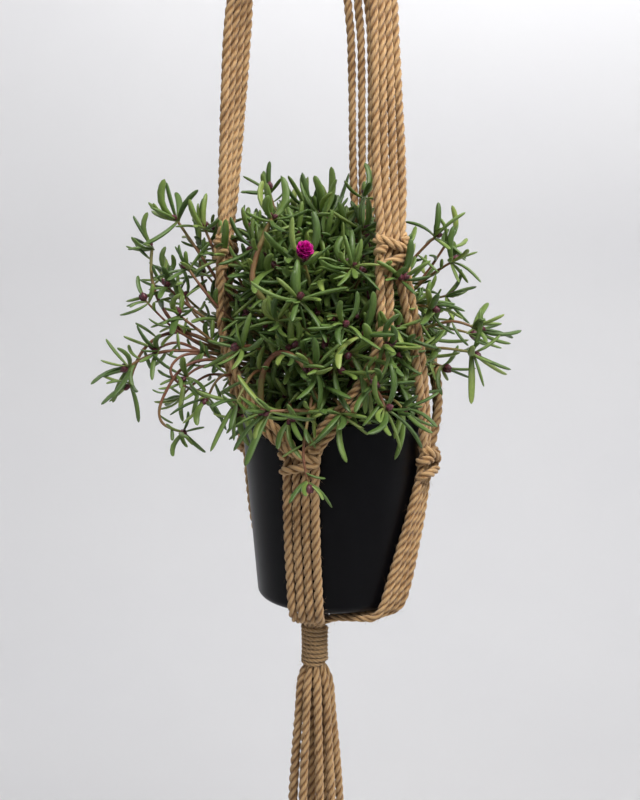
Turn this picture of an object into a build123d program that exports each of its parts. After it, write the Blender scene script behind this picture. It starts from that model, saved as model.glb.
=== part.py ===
from build123d import *
import math
import os

os.makedirs("parts", exist_ok=True)

# Hanging macrame planter: a nursery pot with a plant, cradled by twelve jute strands.
# Millimetres, +Z up, +X to the right, +Y to the rear. The origin is the point inside the
# top of the steel hanging ring where a ceiling hook bears.

# ---------------------------------------------------------------- driving dimensions
ROPE_D = 6.0                    # three-ply jute strand
ROPE_R = ROPE_D / 2
RIM_Z = -470.0                  # height of the pot's rim
POT_X = 4.0                     # the pot's axis stands a little right of the hook
POT_RIM_R, POT_RIM_H = 63.0, 9.0
RIM_EDGE, RIM_SKIRT, RIM_BITE = 0.6, 1.2, 0.9   # chamfer, band outside the wall, band inside it
POT_WALL_TOP_R, POT_FOOT_R, POT_H = 61.8, 51.0, 125.0
POT_CORNER_R, POT_WALL_T = 6.0, 1.8
DRAIN_HOLES, DRAIN_HOLE_R, DRAIN_CIRCLE_R = 6, 4.0, 33.0
SOIL_DEPTH, SOIL_GAP = 13.0, 0.3

RING_WIRE_R, RING_MID_R = 2.5, 22.5     # steel hanging ring
SPREADER_WIRE_R, SPREADER_MID_R, SPREADER_RISE = 4.5, 53.4, 305.0
TURN_GAP = 0.15                 # between a rope turn and the wooden ring inside it
HITCH_STEP_DEG = 8.1            # between neighbouring turns on the wooden ring

LOOP_GAP = 0.3                  # between the hanging loop and the steel wire inside it
LOOP_LEG_END_Z = -78.0
TOP_WRAP_R, TOP_WRAP_Z, TOP_WRAP_EDGE_R = 9.4, (-98.0, -60.0), 2.0
GATHER = (-8.5, -22.0)          # plan position of the gathering wrap
BUNDLE_TOP_R, BUNDLE_CORE_R, BUNDLE_EDGE_H = 19.0, 7.2, 7.5
WRAP_IN_R, WRAP_OUT_R = 7.3, 9.4
BUNDLE_TOP, WRAP_TOP, TASSEL_PIVOT = -126.0, -140.0, -162.0     # above the rim is positive
HEAD_SOCKET_R, HEAD_R, HEAD_BOTTOM = 9.9, 12.8, -178.0
SOCKET_EDGE_R, HEAD_SHOULDER = 8.5, 5.0
UPPER_KNOT = (27.0, 13.0, 19.0)     # width along the row, depth and height of a knot's block
LOWER_KNOT = (27.0, 10.0, 18.0)
KNOT_CORNER, KNOT_EDGE_R = 0.42, 2.5     # corner radius as a share of the depth, and end edges
LOWER_KNOT_OUT, LOWER_KNOT_REACH = 3.0, 16.0

# ---------------------------------------------------------------- routes of the strands
# A station of a flat row of strands is: azimuth about the pot's axis in degrees (0 is the
# front, 90 is +X), distance from that axis, height above the rim, and the step from one
# strand to the next as (along the azimuth, outward, up). Strands sit at odd half steps.
ARMS = {
    "left": [
        (-85.3, 57.4, 295.5, (7.5, 0.0, 0.0)),
        (-85.3, 59.2, 272, (5.6, 3.2, 0.0)),
        (-85.3, 62.0, 250, (4.5, 4.5, 0.0)),
        (-85.3, 68.3, 150, (5.7, 2.9, 0.0)),
        (-85.2, 70.8, 120, (5.9, 2.4, 0.0)),
    ],
    "right": [
        (31.3, 51.4, 295.5, (7.5, -0.5, 0.0)),
        (31.4, 53.4, 272, (6.3, -1.3, 0.0)),
        (31.7, 56.2, 250, (6.1, -1.8, 0.0)),
        (32.1, 62.3, 150, (6.4, 0.6, 0.0)),
        (32.2, 64.8, 120, (6.4, 0.6, 0.0)),
    ],
    "rear": [
        (159.0, 52.0, 295.5, (7.5, 0.5, 0.0)),
        (157.6, 54.6, 272, (7.4, 0.3, 0.0)),
        (156.2, 57.8, 250, (7.4, 0.0, 0.0)),
        (157.6, 63.3, 150, (7.0, 0.0, 0.0)),
        (158.0, 65.4, 120, (6.5, 0.0, 0.0)),
    ],
}
PAIRS = {
    ("left", "front"): [
        (-80.5, 74.0, 94, (5.9, 2.4, 0.0)),
        (-81.5, 75.5, 68, (6.1, 1.4, 1.2)),
        (-74.5, 73.5, 44, (5.2, 0.0, 3.7)),
        (-60.0, 71.0, 22, (4.6, 0.0, 4.4)),
        (-43.5, 70.0, 3, (4.5, 0.0, 4.8)),
        (-29.5, 67.8, -9, (5.4, 0.0, 3.8)),
    ],
    ("right", "front"): [
        (26.5, 65.2, 94, (6.4, 0.5, 0.0)),
        (27.5, 67.5, 72, (6.3, 0.0, -1.0)),
        (26.0, 68.5, 50, (5.8, 0.0, -2.7)),
        (18.5, 68.5, 29, (5.0, 0.0, -4.0)),
        (5.0, 68.5, 9, (4.5, 0.0, -4.6)),
        (-8.0, 67.8, -7, (5.2, 0.0, -4.1)),
    ],
    ("right", "side"): [
        (38.0, 66.2, 94, (6.4, 0.5, 0.0)),
        (43.5, 67.4, 71, (6.4, 0.0, 1.7)),
        (50.5, 67.6, 47, (6.4, 0.0, 2.1)),
        (56.0, 67.4, 22, (6.4, 0.0, 1.7)),
        (60.5, 67.2, -4, (6.4, 0.0, 1.7)),
    ],
    ("rear", "side"): [
        (152.5, 66.2, 94, (6.4, 0.0, 0.0)),
        (147.5, 68.5, 76, (5.4, 0.0, -3.9)),
        (132.0, 71.0, 57, (4.7, 0.0, -4.8)),
        (114.5, 72.5, 39, (4.8, 0.0, -4.7)),
        (100.5, 72.5, 18, (5.7, 0.0, -3.5)),
        (92.0, 70.5, -5, (6.3, 0.0, -2.1)),
    ],
    ("rear", "back"): [
        (163.7, 66.2, 94, (6.4, 0.0, 0.0)),
        (168.0, 68.0, 76, (5.6, 0.0, 3.1)),
        (181.5, 69.5, 56, (4.6, 0.0, 4.5)),
        (198.5, 69.5, 35, (4.6, 0.0, 4.5)),
        (214.5, 69.5, 13, (5.0, 0.0, 4.4)),
        (226.0, 68.2, -8, (5.9, 0.0, 3.0)),
    ],
    ("left", "back"): [
        (-89.9, 69.4, 94, (5.9, 2.4, 0.0)),
        (-90.5, 71.5, 69, (6.2, 1.2, -0.8)),
        (-94.5, 71.5, 45, (6.1, 0.0, -1.8)),
        (-101.0, 70.0, 22, (6.1, 0.0, -2.3)),
        (-108.0, 68.5, -1, (6.1, 0.0, -2.2)),
    ],
}
GROUPS = {
    "front": [
        (-18.5, 64.2, -18, (6.2, 0.0, 0.0)),
        (-19.6, 62.5, -38, (6.2, 0.0, 0.0)),
        (-20.2, 59.4, -73, (6.2, 0.0, 0.0)),
        (-19.6, 56.7, -105, (6.2, 0.0, 0.0)),
        (-19.0, 55.0, -128.5, (6.2, 0.0, 0.0)),
        (-21.3, 40.6, -130.5, (6.1, -1.4, 0.0)),
    ],
    "side": [
        (72.5, 64.2, -27, (6.2, 0.0, -0.6)),
        (68.5, 62.0, -47, (6.1, 0.0, -1.6)),
        (60.5, 59.4, -73, (6.0, 0.0, -2.0)),
        (50.5, 56.8, -103, (6.0, 0.0, -1.8)),
        (41.5, 55.0, -128.5, (6.3, 0.0, 0.0)),
        (28.6, 40.0, -129.0, (4.9, -4.0, 0.0)),
        (4.7, 28.1, -130.5, (2.8, -5.6, 0.0)),
    ],
    "back": [
        (240.0, 64.2, -23, (6.2, 0.0, 0.0)),
        (241.2, 62.2, -43, (6.2, 0.0, 0.0)),
        (240.0, 59.5, -73, (6.2, 0.0, -0.8)),
        (232.5, 56.9, -102, (6.0, 0.0, -1.8)),
        (223.0, 55.8, -128.8, (6.3, 0.0, 0.0)),
        (240.8, 31.4, -129.0, (4.8, 3.9, 0.0)),
        (291.3, 19.8, -130.5, (0.0, 6.2, 0.0)),
    ],
}
# Each pair's places in its arm's row and in its group's row, in steps from the middle.
SLOTS = {
    ("left", "front"): (1, -1),
    ("right", "front"): (-1, 1),
    ("right", "side"): (1, -1),
    ("rear", "side"): (-1, 1),
    ("rear", "back"): (1, -1),
    ("left", "back"): (-1, 1),
}
# A tassel strand is: azimuth about the wrap's axis at its top, how far it drifts in azimuth
# by its end, distance from the axis at four heights, and the height of its cut end.
TASSEL_HEIGHTS = (-175, -198, -228, -264)
TASSEL_FLARE = 0.6              # how much further out a cut end is than the point above it
TASSEL = [
    (10, 4, (9.8, 11.0, 13.6, 16.0), -301),
    (50, -3, (9.8, 10.8, 13.0, 15.4), -296),
    (90, 5, (9.8, 11.2, 14.2, 17.2), -304),
    (130, 2, (9.8, 10.9, 13.4, 15.6), -298),
    (170, -4, (9.8, 11.1, 13.8, 16.4), -293),
    (210, 3, (9.8, 10.8, 13.0, 15.2), -302),
    (250, -2, (9.8, 11.0, 14.0, 17.0), -299),
    (290, 4, (9.8, 11.2, 13.6, 16.2), -305),
    (330, -3, (9.8, 10.9, 13.2, 15.6), -297),
    (340, 6, (3.6, 3.8, 5.4, 7.4), -300),
    (100, -5, (3.6, 3.9, 5.6, 7.8), -295),
    (220, 6, (3.6, 3.8, 5.2, 7.0), -303),
]
# A bridle cord: azimuth about the hook's axis, then (distance, height) from ring to wrap.
BRIDLE_AZIMUTHS = {"front": -25.0, "right": 95.0, "left": 215.0}
BRIDLE = [(51.0, -155.5), (9.4, -101.0), (3.8, -82.0)]


def polar(azimuth, distance, height, centre):
    """A point at an azimuth and distance from a vertical axis."""
    a = math.radians(azimuth)
    return Vector(centre[0] + distance * math.sin(a), centre[1] - distance * math.cos(a), height)


def in_row(station, steps):
    """The place of one strand, so many steps along a station's row."""
    azimuth, distance, height, (along, outward, up) = station
    a = math.radians(azimuth)
    middle = polar(azimuth, distance, RIM_Z + height, (POT_X, 0))
    side, out = Vector(math.cos(a), math.sin(a), 0), Vector(math.sin(a), -math.cos(a), 0)
    return middle + (side * along + out * outward + Vector(0, 0, up)) * steps


def strand_route(arm, group, half):
    """One strand's points, from its turn on the wooden ring to the gathering bundle."""
    arm_slot, group_slot = SLOTS[arm, group]
    points = [in_row(s, arm_slot + half) for s in ARMS[arm]]
    points += [in_row(s, half) for s in PAIRS[arm, group]]
    points += [in_row(s, group_slot + half) for s in GROUPS[group]]
    return points


ARC_SHARE = 0.45                # how much of its shorter run a corner's arc may take up


def corner_radii(points):
    """The radius of the arc at each corner of a route."""
    radii = []
    for before, corner, after in zip(points, points[1:], points[2:]):
        arriving, leaving = corner - before, after - corner
        half_turn = math.radians(arriving.get_angle(leaving)) / 2
        radii.append(ARC_SHARE * min(arriving.length, leaving.length) / math.tan(half_turn))
    return radii


def write(part, label):
    part.label = label
    export_step(part, f"parts/{label}.step")


def rope(points, label):
    """A plain round strand along straight runs joined by tangent arcs."""
    radii = corner_radii(points)
    with BuildPart() as strand:
        with BuildLine() as route:
            FilletPolyline(*points, radius=radii)
        path = route.wire()
        with BuildSketch(Plane(origin=path @ 0, z_dir=path % 0)):
            Circle(ROPE_R)
        sweep(path=path)
    expected = math.pi * ROPE_R**2 * path.length
    print(f"{label}: length {path.length:.1f}, tightest radius {min(radii):.1f},"
          f" volume ratio {strand.part.volume / expected:.4f}")
    write(strand.part, label)


# ---------------------------------------------------------------- hanging hardware
with BuildPart() as hanging_ring:
    with Locations((0, 0, RING_WIRE_R - RING_MID_R)):
        Torus(RING_MID_R, RING_WIRE_R, rotation=(90, 0, 0))
write(hanging_ring.part, "hanging_ring")

EYE_R = RING_WIRE_R + LOOP_GAP + ROPE_R
EYE_Z = RING_WIRE_R - 2 * RING_MID_R        # the ring's wire at its lowest point
with BuildPart() as hanging_loop:
    with BuildLine() as eye:
        leg = Line((0, -EYE_R, LOOP_LEG_END_Z), (0, -EYE_R, EYE_Z))
        ThreePointArc(leg @ 1, (0, 0, EYE_Z + EYE_R), (0, EYE_R, EYE_Z))
        Line((0, EYE_R, EYE_Z), (0, EYE_R, LOOP_LEG_END_Z))
    with BuildSketch(Plane(origin=leg @ 0, z_dir=leg % 0)):
        Circle(ROPE_R)
    sweep()
write(hanging_loop.part, "hanging_loop")

with BuildPart() as top_wrap:
    with Locations((0, 0, TOP_WRAP_Z[0])):
        height = TOP_WRAP_Z[1] - TOP_WRAP_Z[0]
        Cylinder(TOP_WRAP_R, height, align=(Align.CENTER, Align.CENTER, Align.MIN))
    fillet(top_wrap.edges().filter_by(GeomType.CIRCLE), TOP_WRAP_EDGE_R)
write(top_wrap.part, "top_wrap")

with BuildPart() as spreader_ring:
    with Locations((0, 0, RIM_Z + SPREADER_RISE)):
        Torus(SPREADER_MID_R, SPREADER_WIRE_R)
write(spreader_ring.part, "spreader_ring")


def ring_turns(azimuths, label):
    """Rope turns round the wooden ring, one torus at each azimuth."""
    with BuildPart() as turns:
        for azimuth in azimuths:
            place = polar(azimuth, SPREADER_MID_R, RIM_Z + SPREADER_RISE, (0, 0))
            along = polar(azimuth + 90, 1, 0, (0, 0))
            with Locations(Plane(origin=place, z_dir=along)):
                Torus(SPREADER_WIRE_R + TURN_GAP + ROPE_R, ROPE_R)
    write(turns.part, label)


ARM_AZIMUTHS = {"left": -85.0, "right": 35.0, "rear": 155.0}
TURN_PLACES = (-1.5, -0.5, 0.5, 1.5)     # four turns to an arm, in steps from its middle
for arm, azimuth in ARM_AZIMUTHS.items():
    ring_turns([azimuth + HITCH_STEP_DEG * k for k in TURN_PLACES], f"larks_heads_{arm}")

for side, azimuth in BRIDLE_AZIMUTHS.items():
    ring_turns([azimuth], f"bridle_hitch_{side}")
    rope([polar(azimuth, r, z, (0, 0)) for r, z in BRIDLE], f"bridle_cord_{side}")

# ---------------------------------------------------------------- the twelve strands
for arm, group in SLOTS:
    for letter, half in (("a", -0.5), ("b", 0.5)):
        rope(strand_route(arm, group, half), f"strand_{arm}_{group}_{letter}")


def knot(above, below, size, label):
    """A knot's block: its row of strands lies across its width and runs down its height."""
    width, depth, height = size
    top, bottom = in_row(above, 0), in_row(below, 0)
    across = in_row(above, 1) - in_row(above, -1) + in_row(below, 1) - in_row(below, -1)
    middle = Plane(origin=(top + bottom) * 0.5, x_dir=across, z_dir=top - bottom)
    with BuildPart() as block:
        with BuildSketch(middle.offset(-height / 2)):
            RectangleRounded(width, depth, depth * KNOT_CORNER)
        extrude(amount=height)
        ends = block.faces().sort_by(Axis(middle.origin, middle.z_dir))
        fillet(ends.first.edges() + ends.last.edges(), KNOT_EDGE_R)
    write(block.part, label)


ARM_SPLITS = {"left": (("left", "back"), ("left", "front")),
              "right": (("right", "front"), ("right", "side")),
              "rear": (("rear", "side"), ("rear", "back"))}
for arm, (lower_pair, upper_pair) in ARM_SPLITS.items():
    first, second = PAIRS[lower_pair][0], PAIRS[upper_pair][0]
    azimuth, distance = (first[0] + second[0]) / 2, (first[1] + second[1]) / 2
    knot(ARMS[arm][-1], (azimuth, distance, first[2], first[3]), UPPER_KNOT, f"upper_knot_{arm}")
for group, stations in GROUPS.items():
    azimuth, distance, height, step = stations[0]
    next_azimuth, next_distance, next_height, next_step = stations[1]
    above = (azimuth, distance + LOWER_KNOT_OUT, height + LOWER_KNOT_REACH, step)
    below = (next_azimuth, next_distance + LOWER_KNOT_OUT, next_height, next_step)
    knot(above, below, LOWER_KNOT, f"lower_knot_{group}")

# ---------------------------------------------------------------- gathering wrap and tassel
at_gather = Plane(origin=(GATHER[0], GATHER[1], RIM_Z), x_dir=(1, 0, 0), z_dir=(0, -1, 0))
DOME_Z = TASSEL_PIVOT - math.sqrt(WRAP_OUT_R**2 - WRAP_IN_R**2)
DOME_MIDDLE_DEG = 20.0          # a place on the arc between the wrap's side and its mouth
SOCKET_MIDDLE_DEG = 29.0        # a place on the arc between the socket's bottom and its edge
with BuildPart() as gathering_bundle:
    with BuildSketch(at_gather):
        with BuildLine():
            top = Line((0, BUNDLE_TOP), (BUNDLE_TOP_R, BUNDLE_TOP))
            rim = Line(top @ 1, (BUNDLE_TOP_R, BUNDLE_TOP - BUNDLE_EDGE_H))
            flare = Spline(rim @ 1, (BUNDLE_CORE_R, WRAP_TOP), tangents=((-0.9, -0.5), (0, -1)))
            core = Line(flare @ 1, (BUNDLE_CORE_R, TASSEL_PIVOT))
            Line(core @ 1, (0, TASSEL_PIVOT))
            Line((0, TASSEL_PIVOT), top @ 0)
        make_face()
    revolve(axis=Axis((GATHER[0], GATHER[1], 0), (0, 0, 1)))
write(gathering_bundle.part, "gathering_bundle")

with BuildPart() as gathering_wrap:
    with BuildSketch(at_gather):
        with BuildLine():
            inner = Line((WRAP_IN_R, WRAP_TOP), (WRAP_IN_R, DOME_Z))
            along_dome = Vector(WRAP_OUT_R, 0).rotate(Axis.Z, -DOME_MIDDLE_DEG)
            ThreePointArc(
                inner @ 1,
                (along_dome.X, TASSEL_PIVOT + along_dome.Y),
                (WRAP_OUT_R, TASSEL_PIVOT),
            )
            outer = Line((WRAP_OUT_R, TASSEL_PIVOT), (WRAP_OUT_R, WRAP_TOP))
            Line(outer @ 1, inner @ 0)
        make_face()
    revolve(axis=Axis((GATHER[0], GATHER[1], 0), (0, 0, 1)))
write(gathering_wrap.part, "gathering_wrap")

with BuildPart() as tassel_head:
    with BuildSketch(at_gather):
        with BuildLine():
            edge = (SOCKET_EDGE_R, TASSEL_PIVOT - math.sqrt(HEAD_SOCKET_R**2 - SOCKET_EDGE_R**2))
            along_socket = Vector(0, -HEAD_SOCKET_R).rotate(Axis.Z, SOCKET_MIDDLE_DEG)
            socket = ThreePointArc(
                (0, TASSEL_PIVOT - HEAD_SOCKET_R),
                (along_socket.X, TASSEL_PIVOT + along_socket.Y),
                edge,
            )
            shoulder = (HEAD_R, edge[1] - HEAD_SHOULDER)
            Polyline(edge, shoulder, (HEAD_R, HEAD_BOTTOM), (0, HEAD_BOTTOM), socket @ 0)
        make_face()
    revolve(axis=Axis((GATHER[0], GATHER[1], 0), (0, 0, 1)))
write(tassel_head.part, "tassel_head")

for number, (azimuth, drift, distances, end) in enumerate(TASSEL, start=1):
    heights = (*TASSEL_HEIGHTS, end)
    widths = (*distances, distances[-1] + TASSEL_FLARE)
    points = [
        polar(azimuth + drift * k / len(TASSEL_HEIGHTS), r, RIM_Z + z, GATHER)
        for k, (r, z) in enumerate(zip(widths, heights))
    ]
    rope(points, f"tassel_strand_{number:02d}")

# ---------------------------------------------------------------- pot and soil
TAPER = (POT_WALL_TOP_R - POT_FOOT_R) / POT_H      # how much the wall leans in per millimetre
RIM_BAND_FOOT_R = POT_WALL_TOP_R - TAPER * POT_RIM_H
pot_section = Plane(origin=(POT_X, 0, RIM_Z), x_dir=(1, 0, 0), z_dir=(0, -1, 0))
pot_axis = Axis((POT_X, 0, 0), (0, 0, 1))
with BuildPart() as pot:
    with BuildSketch(pot_section):
        with BuildLine():
            Polyline((0, -POT_H), (POT_FOOT_R, -POT_H), (POT_WALL_TOP_R, 0), (0, 0), (0, -POT_H))
        make_face()
    revolve(axis=pot_axis)
    foot = pot.faces().sort_by(Axis.Z).first
    fillet(foot.edges(), POT_CORNER_R)
    mouth = pot.faces().sort_by(Axis.Z).last
    offset(amount=-POT_WALL_T, openings=mouth)
    with BuildSketch(pot_section):
        with BuildLine():
            band = Polyline(
                (POT_WALL_TOP_R - RIM_BITE, -RIM_EDGE),
                (POT_WALL_TOP_R - RIM_BITE + RIM_EDGE, 0),
                (POT_RIM_R - RIM_EDGE, 0),
                (POT_RIM_R, -RIM_EDGE),
                (RIM_BAND_FOOT_R + RIM_SKIRT, -POT_RIM_H),
                (RIM_BAND_FOOT_R - RIM_BITE, -POT_RIM_H),
            )
            Line(band @ 1, band @ 0)
        make_face()
    revolve(axis=pot_axis)
    with Locations((POT_X, 0, RIM_Z - POT_H)):
        with PolarLocations(DRAIN_CIRCLE_R, DRAIN_HOLES):
            Cylinder(DRAIN_HOLE_R, 2 * POT_CORNER_R, mode=Mode.SUBTRACT)
write(pot.part, "pot")

SOIL_TOP_R = POT_WALL_TOP_R - TAPER * SOIL_DEPTH - POT_WALL_T - SOIL_GAP
SOIL_FOOT = POT_WALL_T + SOIL_GAP - POT_H
SOIL_FOOT_R = POT_FOOT_R - POT_WALL_T - SOIL_GAP
with BuildPart() as potting_mix:
    with BuildSketch(pot_section):
        with BuildLine():
            Polyline(
                (0, SOIL_FOOT), (SOIL_FOOT_R, SOIL_FOOT), (SOIL_TOP_R, -SOIL_DEPTH), (0, -SOIL_DEPTH),
                (0, SOIL_FOOT),
            )
        make_face()
    revolve(axis=pot_axis)
    fillet(potting_mix.edges().filter_by(GeomType.CIRCLE).sort_by(Axis.Z).first, POT_CORNER_R)
write(potting_mix.part, "potting_mix")

# ---------------------------------------------------------------- plant
# Foliage clumps are plain rounded solids: centre (x, y, height above the rim), the two
# half widths and the half height, and how far the clump is turned about Z.
CLUMPS = {
    "foliage_upper_left": ((-116, -6, 84), (40, 26, 46), 0),
    "foliage_lower_left": ((-108, -22, 12), (30, 20, 27), 20),
    "foliage_right": ((96, -14, 66), (27, 34, 48), 0),
    "foliage_front": ((-2, -96, 26), (52, 17, 34), 0),
    "foliage_rear": ((-12, 98, 44), (52, 20, 46), 0),
}
CROWN = [(28, -SOIL_DEPTH), (34, 2), (48, 26), (52, 62), (45, 110), (28, 150), (0, 172)]
# Stems run from the crown through the gaps between the strands: (x, y, height) points.
STEM_R = 1.8
STEMS = [
    [(-30, 12, 60), (-62, 24, 78), (-84, 14, 92), (-104, -2, 88)],
    [(-36, -6, 38), (-66, -10, 30), (-92, -18, 18)],
    [(40, -4, 62), (62, -8, 74), (88, -13, 66)],
    [(-8, -42, 54), (-12, -64, 50), (-8, -88, 34)],
    [(-22, 38, 62), (-30, 62, 68), (-22, 90, 54)],
    [(-8, -36, 88), (-13, -52, 101), (-15, -65, 106)],
]
FLOWER_AT, FLOWER_SIZE = (-15, -66, 109), (6.5, 6.5, 6.0)
with BuildPart() as foliage_crown:
    with BuildSketch(pot_section):
        with BuildLine():
            dome = Spline(CROWN, tangents=((0, 1), (-1, 0)))
            Polyline(dome @ 1, (0, -SOIL_DEPTH), dome @ 0)
        make_face()
    revolve(axis=pot_axis)
write(foliage_crown.part, "foliage_crown")


def rounded_clump(centre, half_sizes, turn, label):
    """A plain rounded solid with three half sizes, turned about Z."""
    ball = Solid.make_sphere(1.0, angle1=-90, angle2=90, angle3=360)
    with BuildPart() as clump:
        with Locations(Location((centre[0], centre[1], RIM_Z + centre[2]), (0, 0, turn))):
            add(scale(ball, by=half_sizes, mode=Mode.PRIVATE))
    write(clump.part, label)


for name, (centre, half_sizes, turn) in CLUMPS.items():
    rounded_clump(centre, half_sizes, turn, name)
rounded_clump(FLOWER_AT, FLOWER_SIZE, 0, "flower")

with BuildPart() as main_stems:
    for stem in STEMS:
        points = [Vector(x, y, RIM_Z + z) for x, y, z in stem]
        with BuildLine() as route:
            FilletPolyline(*points, radius=corner_radii(points))
        path = route.wire()
        with BuildSketch(Plane(origin=path @ 0, z_dir=path % 0)):
            Circle(STEM_R)
        sweep(path=path)
write(main_stems.part, "main_stems")
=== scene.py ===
import math

import bpy
import numpy as np
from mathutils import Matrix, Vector


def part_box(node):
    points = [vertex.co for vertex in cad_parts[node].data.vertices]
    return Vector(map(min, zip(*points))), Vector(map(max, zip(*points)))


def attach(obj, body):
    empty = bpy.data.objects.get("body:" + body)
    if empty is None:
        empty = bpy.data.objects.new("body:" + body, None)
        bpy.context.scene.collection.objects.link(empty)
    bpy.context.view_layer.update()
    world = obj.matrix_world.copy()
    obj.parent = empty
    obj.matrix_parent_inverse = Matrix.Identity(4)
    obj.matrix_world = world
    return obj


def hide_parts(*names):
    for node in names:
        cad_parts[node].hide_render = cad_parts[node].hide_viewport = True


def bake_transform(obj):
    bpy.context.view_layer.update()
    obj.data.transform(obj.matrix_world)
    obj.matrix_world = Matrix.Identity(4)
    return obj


# Hanging macrame planter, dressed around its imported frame. Metres, +Z up, front towards -Y.
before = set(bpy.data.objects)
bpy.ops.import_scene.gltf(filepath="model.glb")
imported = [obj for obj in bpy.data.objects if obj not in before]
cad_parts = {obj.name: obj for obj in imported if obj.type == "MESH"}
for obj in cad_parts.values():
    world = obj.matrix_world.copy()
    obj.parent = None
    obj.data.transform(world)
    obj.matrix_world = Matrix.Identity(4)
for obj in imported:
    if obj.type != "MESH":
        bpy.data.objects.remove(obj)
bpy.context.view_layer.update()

# ---------------------------------------------------------------- sizes read from the frame
POT_LOW, POT_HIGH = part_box("pot")
RIM_Z = POT_HIGH.z
POT_X = (POT_LOW.x + POT_HIGH.x) / 2
WRAP_LOW, WRAP_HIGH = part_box("gathering_wrap")
GATHER = ((WRAP_LOW.x + WRAP_HIGH.x) / 2, (WRAP_LOW.y + WRAP_HIGH.y) / 2)
SPREADER_LOW, SPREADER_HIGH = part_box("spreader_ring")
SPREADER_Z = (SPREADER_LOW.z + SPREADER_HIGH.z) / 2
SPREADER_WIRE_R = (SPREADER_HIGH.z - SPREADER_LOW.z) / 2
SPREADER_MID_R = (SPREADER_HIGH.x - SPREADER_LOW.x) / 2 - SPREADER_WIRE_R
TOP_WRAP_LOW, TOP_WRAP_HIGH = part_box("top_wrap")
RING_LOW, RING_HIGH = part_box("hanging_ring")

# ---------------------------------------------------------------- sizes of the rope
ROPE_D = 0.006
ROPE_R = ROPE_D / 2
TWINE_D = 0.003
LAY_PITCH = 0.0198              # length along the rope in which a ply turns once
TWINE_PITCH = 0.009

# ---------------------------------------------------------------- routes of the strands
# A station of a flat row of strands is: azimuth about the pot's axis in degrees (0 is the
# front, 90 is +X), distance from that axis, height above the rim, and the step from one
# strand to the next as (along the azimuth, outward, up). Strands sit at odd half steps.
ARMS = {
    "left": [
        (-85.3, 0.0574, 0.2955, (0.0075, 0, 0)),
        (-85.3, 0.0592, 0.272, (0.0056, 0.0032, 0)),
        (-85.3, 0.062, 0.25, (0.0045, 0.0045, 0)),
        (-85.3, 0.0683, 0.15, (0.0057, 0.0029, 0)),
        (-85.2, 0.0708, 0.12, (0.0059, 0.0024, 0)),
    ],
    "right": [
        (31.3, 0.0514, 0.2955, (0.0075, -0.0005, 0)),
        (31.4, 0.0534, 0.272, (0.0063, -0.0013, 0)),
        (31.7, 0.0562, 0.25, (0.0061, -0.0018, 0)),
        (32.1, 0.0623, 0.15, (0.0064, 0.0006, 0)),
        (32.2, 0.0648, 0.12, (0.0064, 0.0006, 0)),
    ],
    "rear": [
        (159.0, 0.052, 0.2955, (0.0075, 0.0005, 0)),
        (157.6, 0.0546, 0.272, (0.0074, 0.0003, 0)),
        (156.2, 0.0578, 0.25, (0.0074, 0, 0)),
        (157.6, 0.0633, 0.15, (0.007, 0, 0)),
        (158.0, 0.0654, 0.12, (0.0065, 0, 0)),
    ],
}
PAIRS = {
    ("left", "front"): [
        (-80.5, 0.074, 0.094, (0.0059, 0.0024, 0)),
        (-81.5, 0.0755, 0.068, (0.0061, 0.0014, 0.0012)),
        (-74.5, 0.0735, 0.044, (0.0052, 0, 0.0037)),
        (-60.0, 0.071, 0.022, (0.0046, 0, 0.0044)),
        (-43.5, 0.07, 0.003, (0.0045, 0, 0.0048)),
        (-29.5, 0.0678, -0.009, (0.0054, 0, 0.0038)),
    ],
    ("right", "front"): [
        (26.5, 0.0652, 0.094, (0.0064, 0.0005, 0)),
        (27.5, 0.0675, 0.072, (0.0063, 0, -0.001)),
        (26.0, 0.0685, 0.05, (0.0058, 0, -0.0027)),
        (18.5, 0.0685, 0.029, (0.005, 0, -0.004)),
        (5.0, 0.0685, 0.009, (0.0045, 0, -0.0046)),
        (-8.0, 0.0678, -0.007, (0.0052, 0, -0.0041)),
    ],
    ("right", "side"): [
        (38.0, 0.0662, 0.094, (0.0064, 0.0005, 0)),
        (43.5, 0.0674, 0.071, (0.0064, 0, 0.0017)),
        (50.5, 0.0676, 0.047, (0.0064, 0, 0.0021)),
        (56.0, 0.0674, 0.022, (0.0064, 0, 0.0017)),
        (60.5, 0.0672, -0.004, (0.0064, 0, 0.0017)),
    ],
    ("rear", "side"): [
        (152.5, 0.0662, 0.094, (0.0064, 0, 0)),
        (147.5, 0.0685, 0.076, (0.0054, 0, -0.0039)),
        (132.0, 0.071, 0.057, (0.0047, 0, -0.0048)),
        (114.5, 0.0725, 0.039, (0.0048, 0, -0.0047)),
        (100.5, 0.0725, 0.018, (0.0057, 0, -0.0035)),
        (92.0, 0.0705, -0.005, (0.0063, 0, -0.0021)),
    ],
    ("rear", "back"): [
        (163.7, 0.0662, 0.094, (0.0064, 0, 0)),
        (168.0, 0.068, 0.076, (0.0056, 0, 0.0031)),
        (181.5, 0.0695, 0.056, (0.0046, 0, 0.0045)),
        (198.5, 0.0695, 0.035, (0.0046, 0, 0.0045)),
        (214.5, 0.0695, 0.013, (0.005, 0, 0.0044)),
        (226.0, 0.0682, -0.008, (0.0059, 0, 0.003)),
    ],
    ("left", "back"): [
        (-89.9, 0.0694, 0.094, (0.0059, 0.0024, 0)),
        (-90.5, 0.0715, 0.069, (0.0062, 0.0012, -0.0008)),
        (-94.5, 0.0715, 0.045, (0.0061, 0, -0.0018)),
        (-101.0, 0.07, 0.022, (0.0061, 0, -0.0023)),
        (-108.0, 0.0685, -0.001, (0.0061, 0, -0.0022)),
    ],
}
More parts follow.
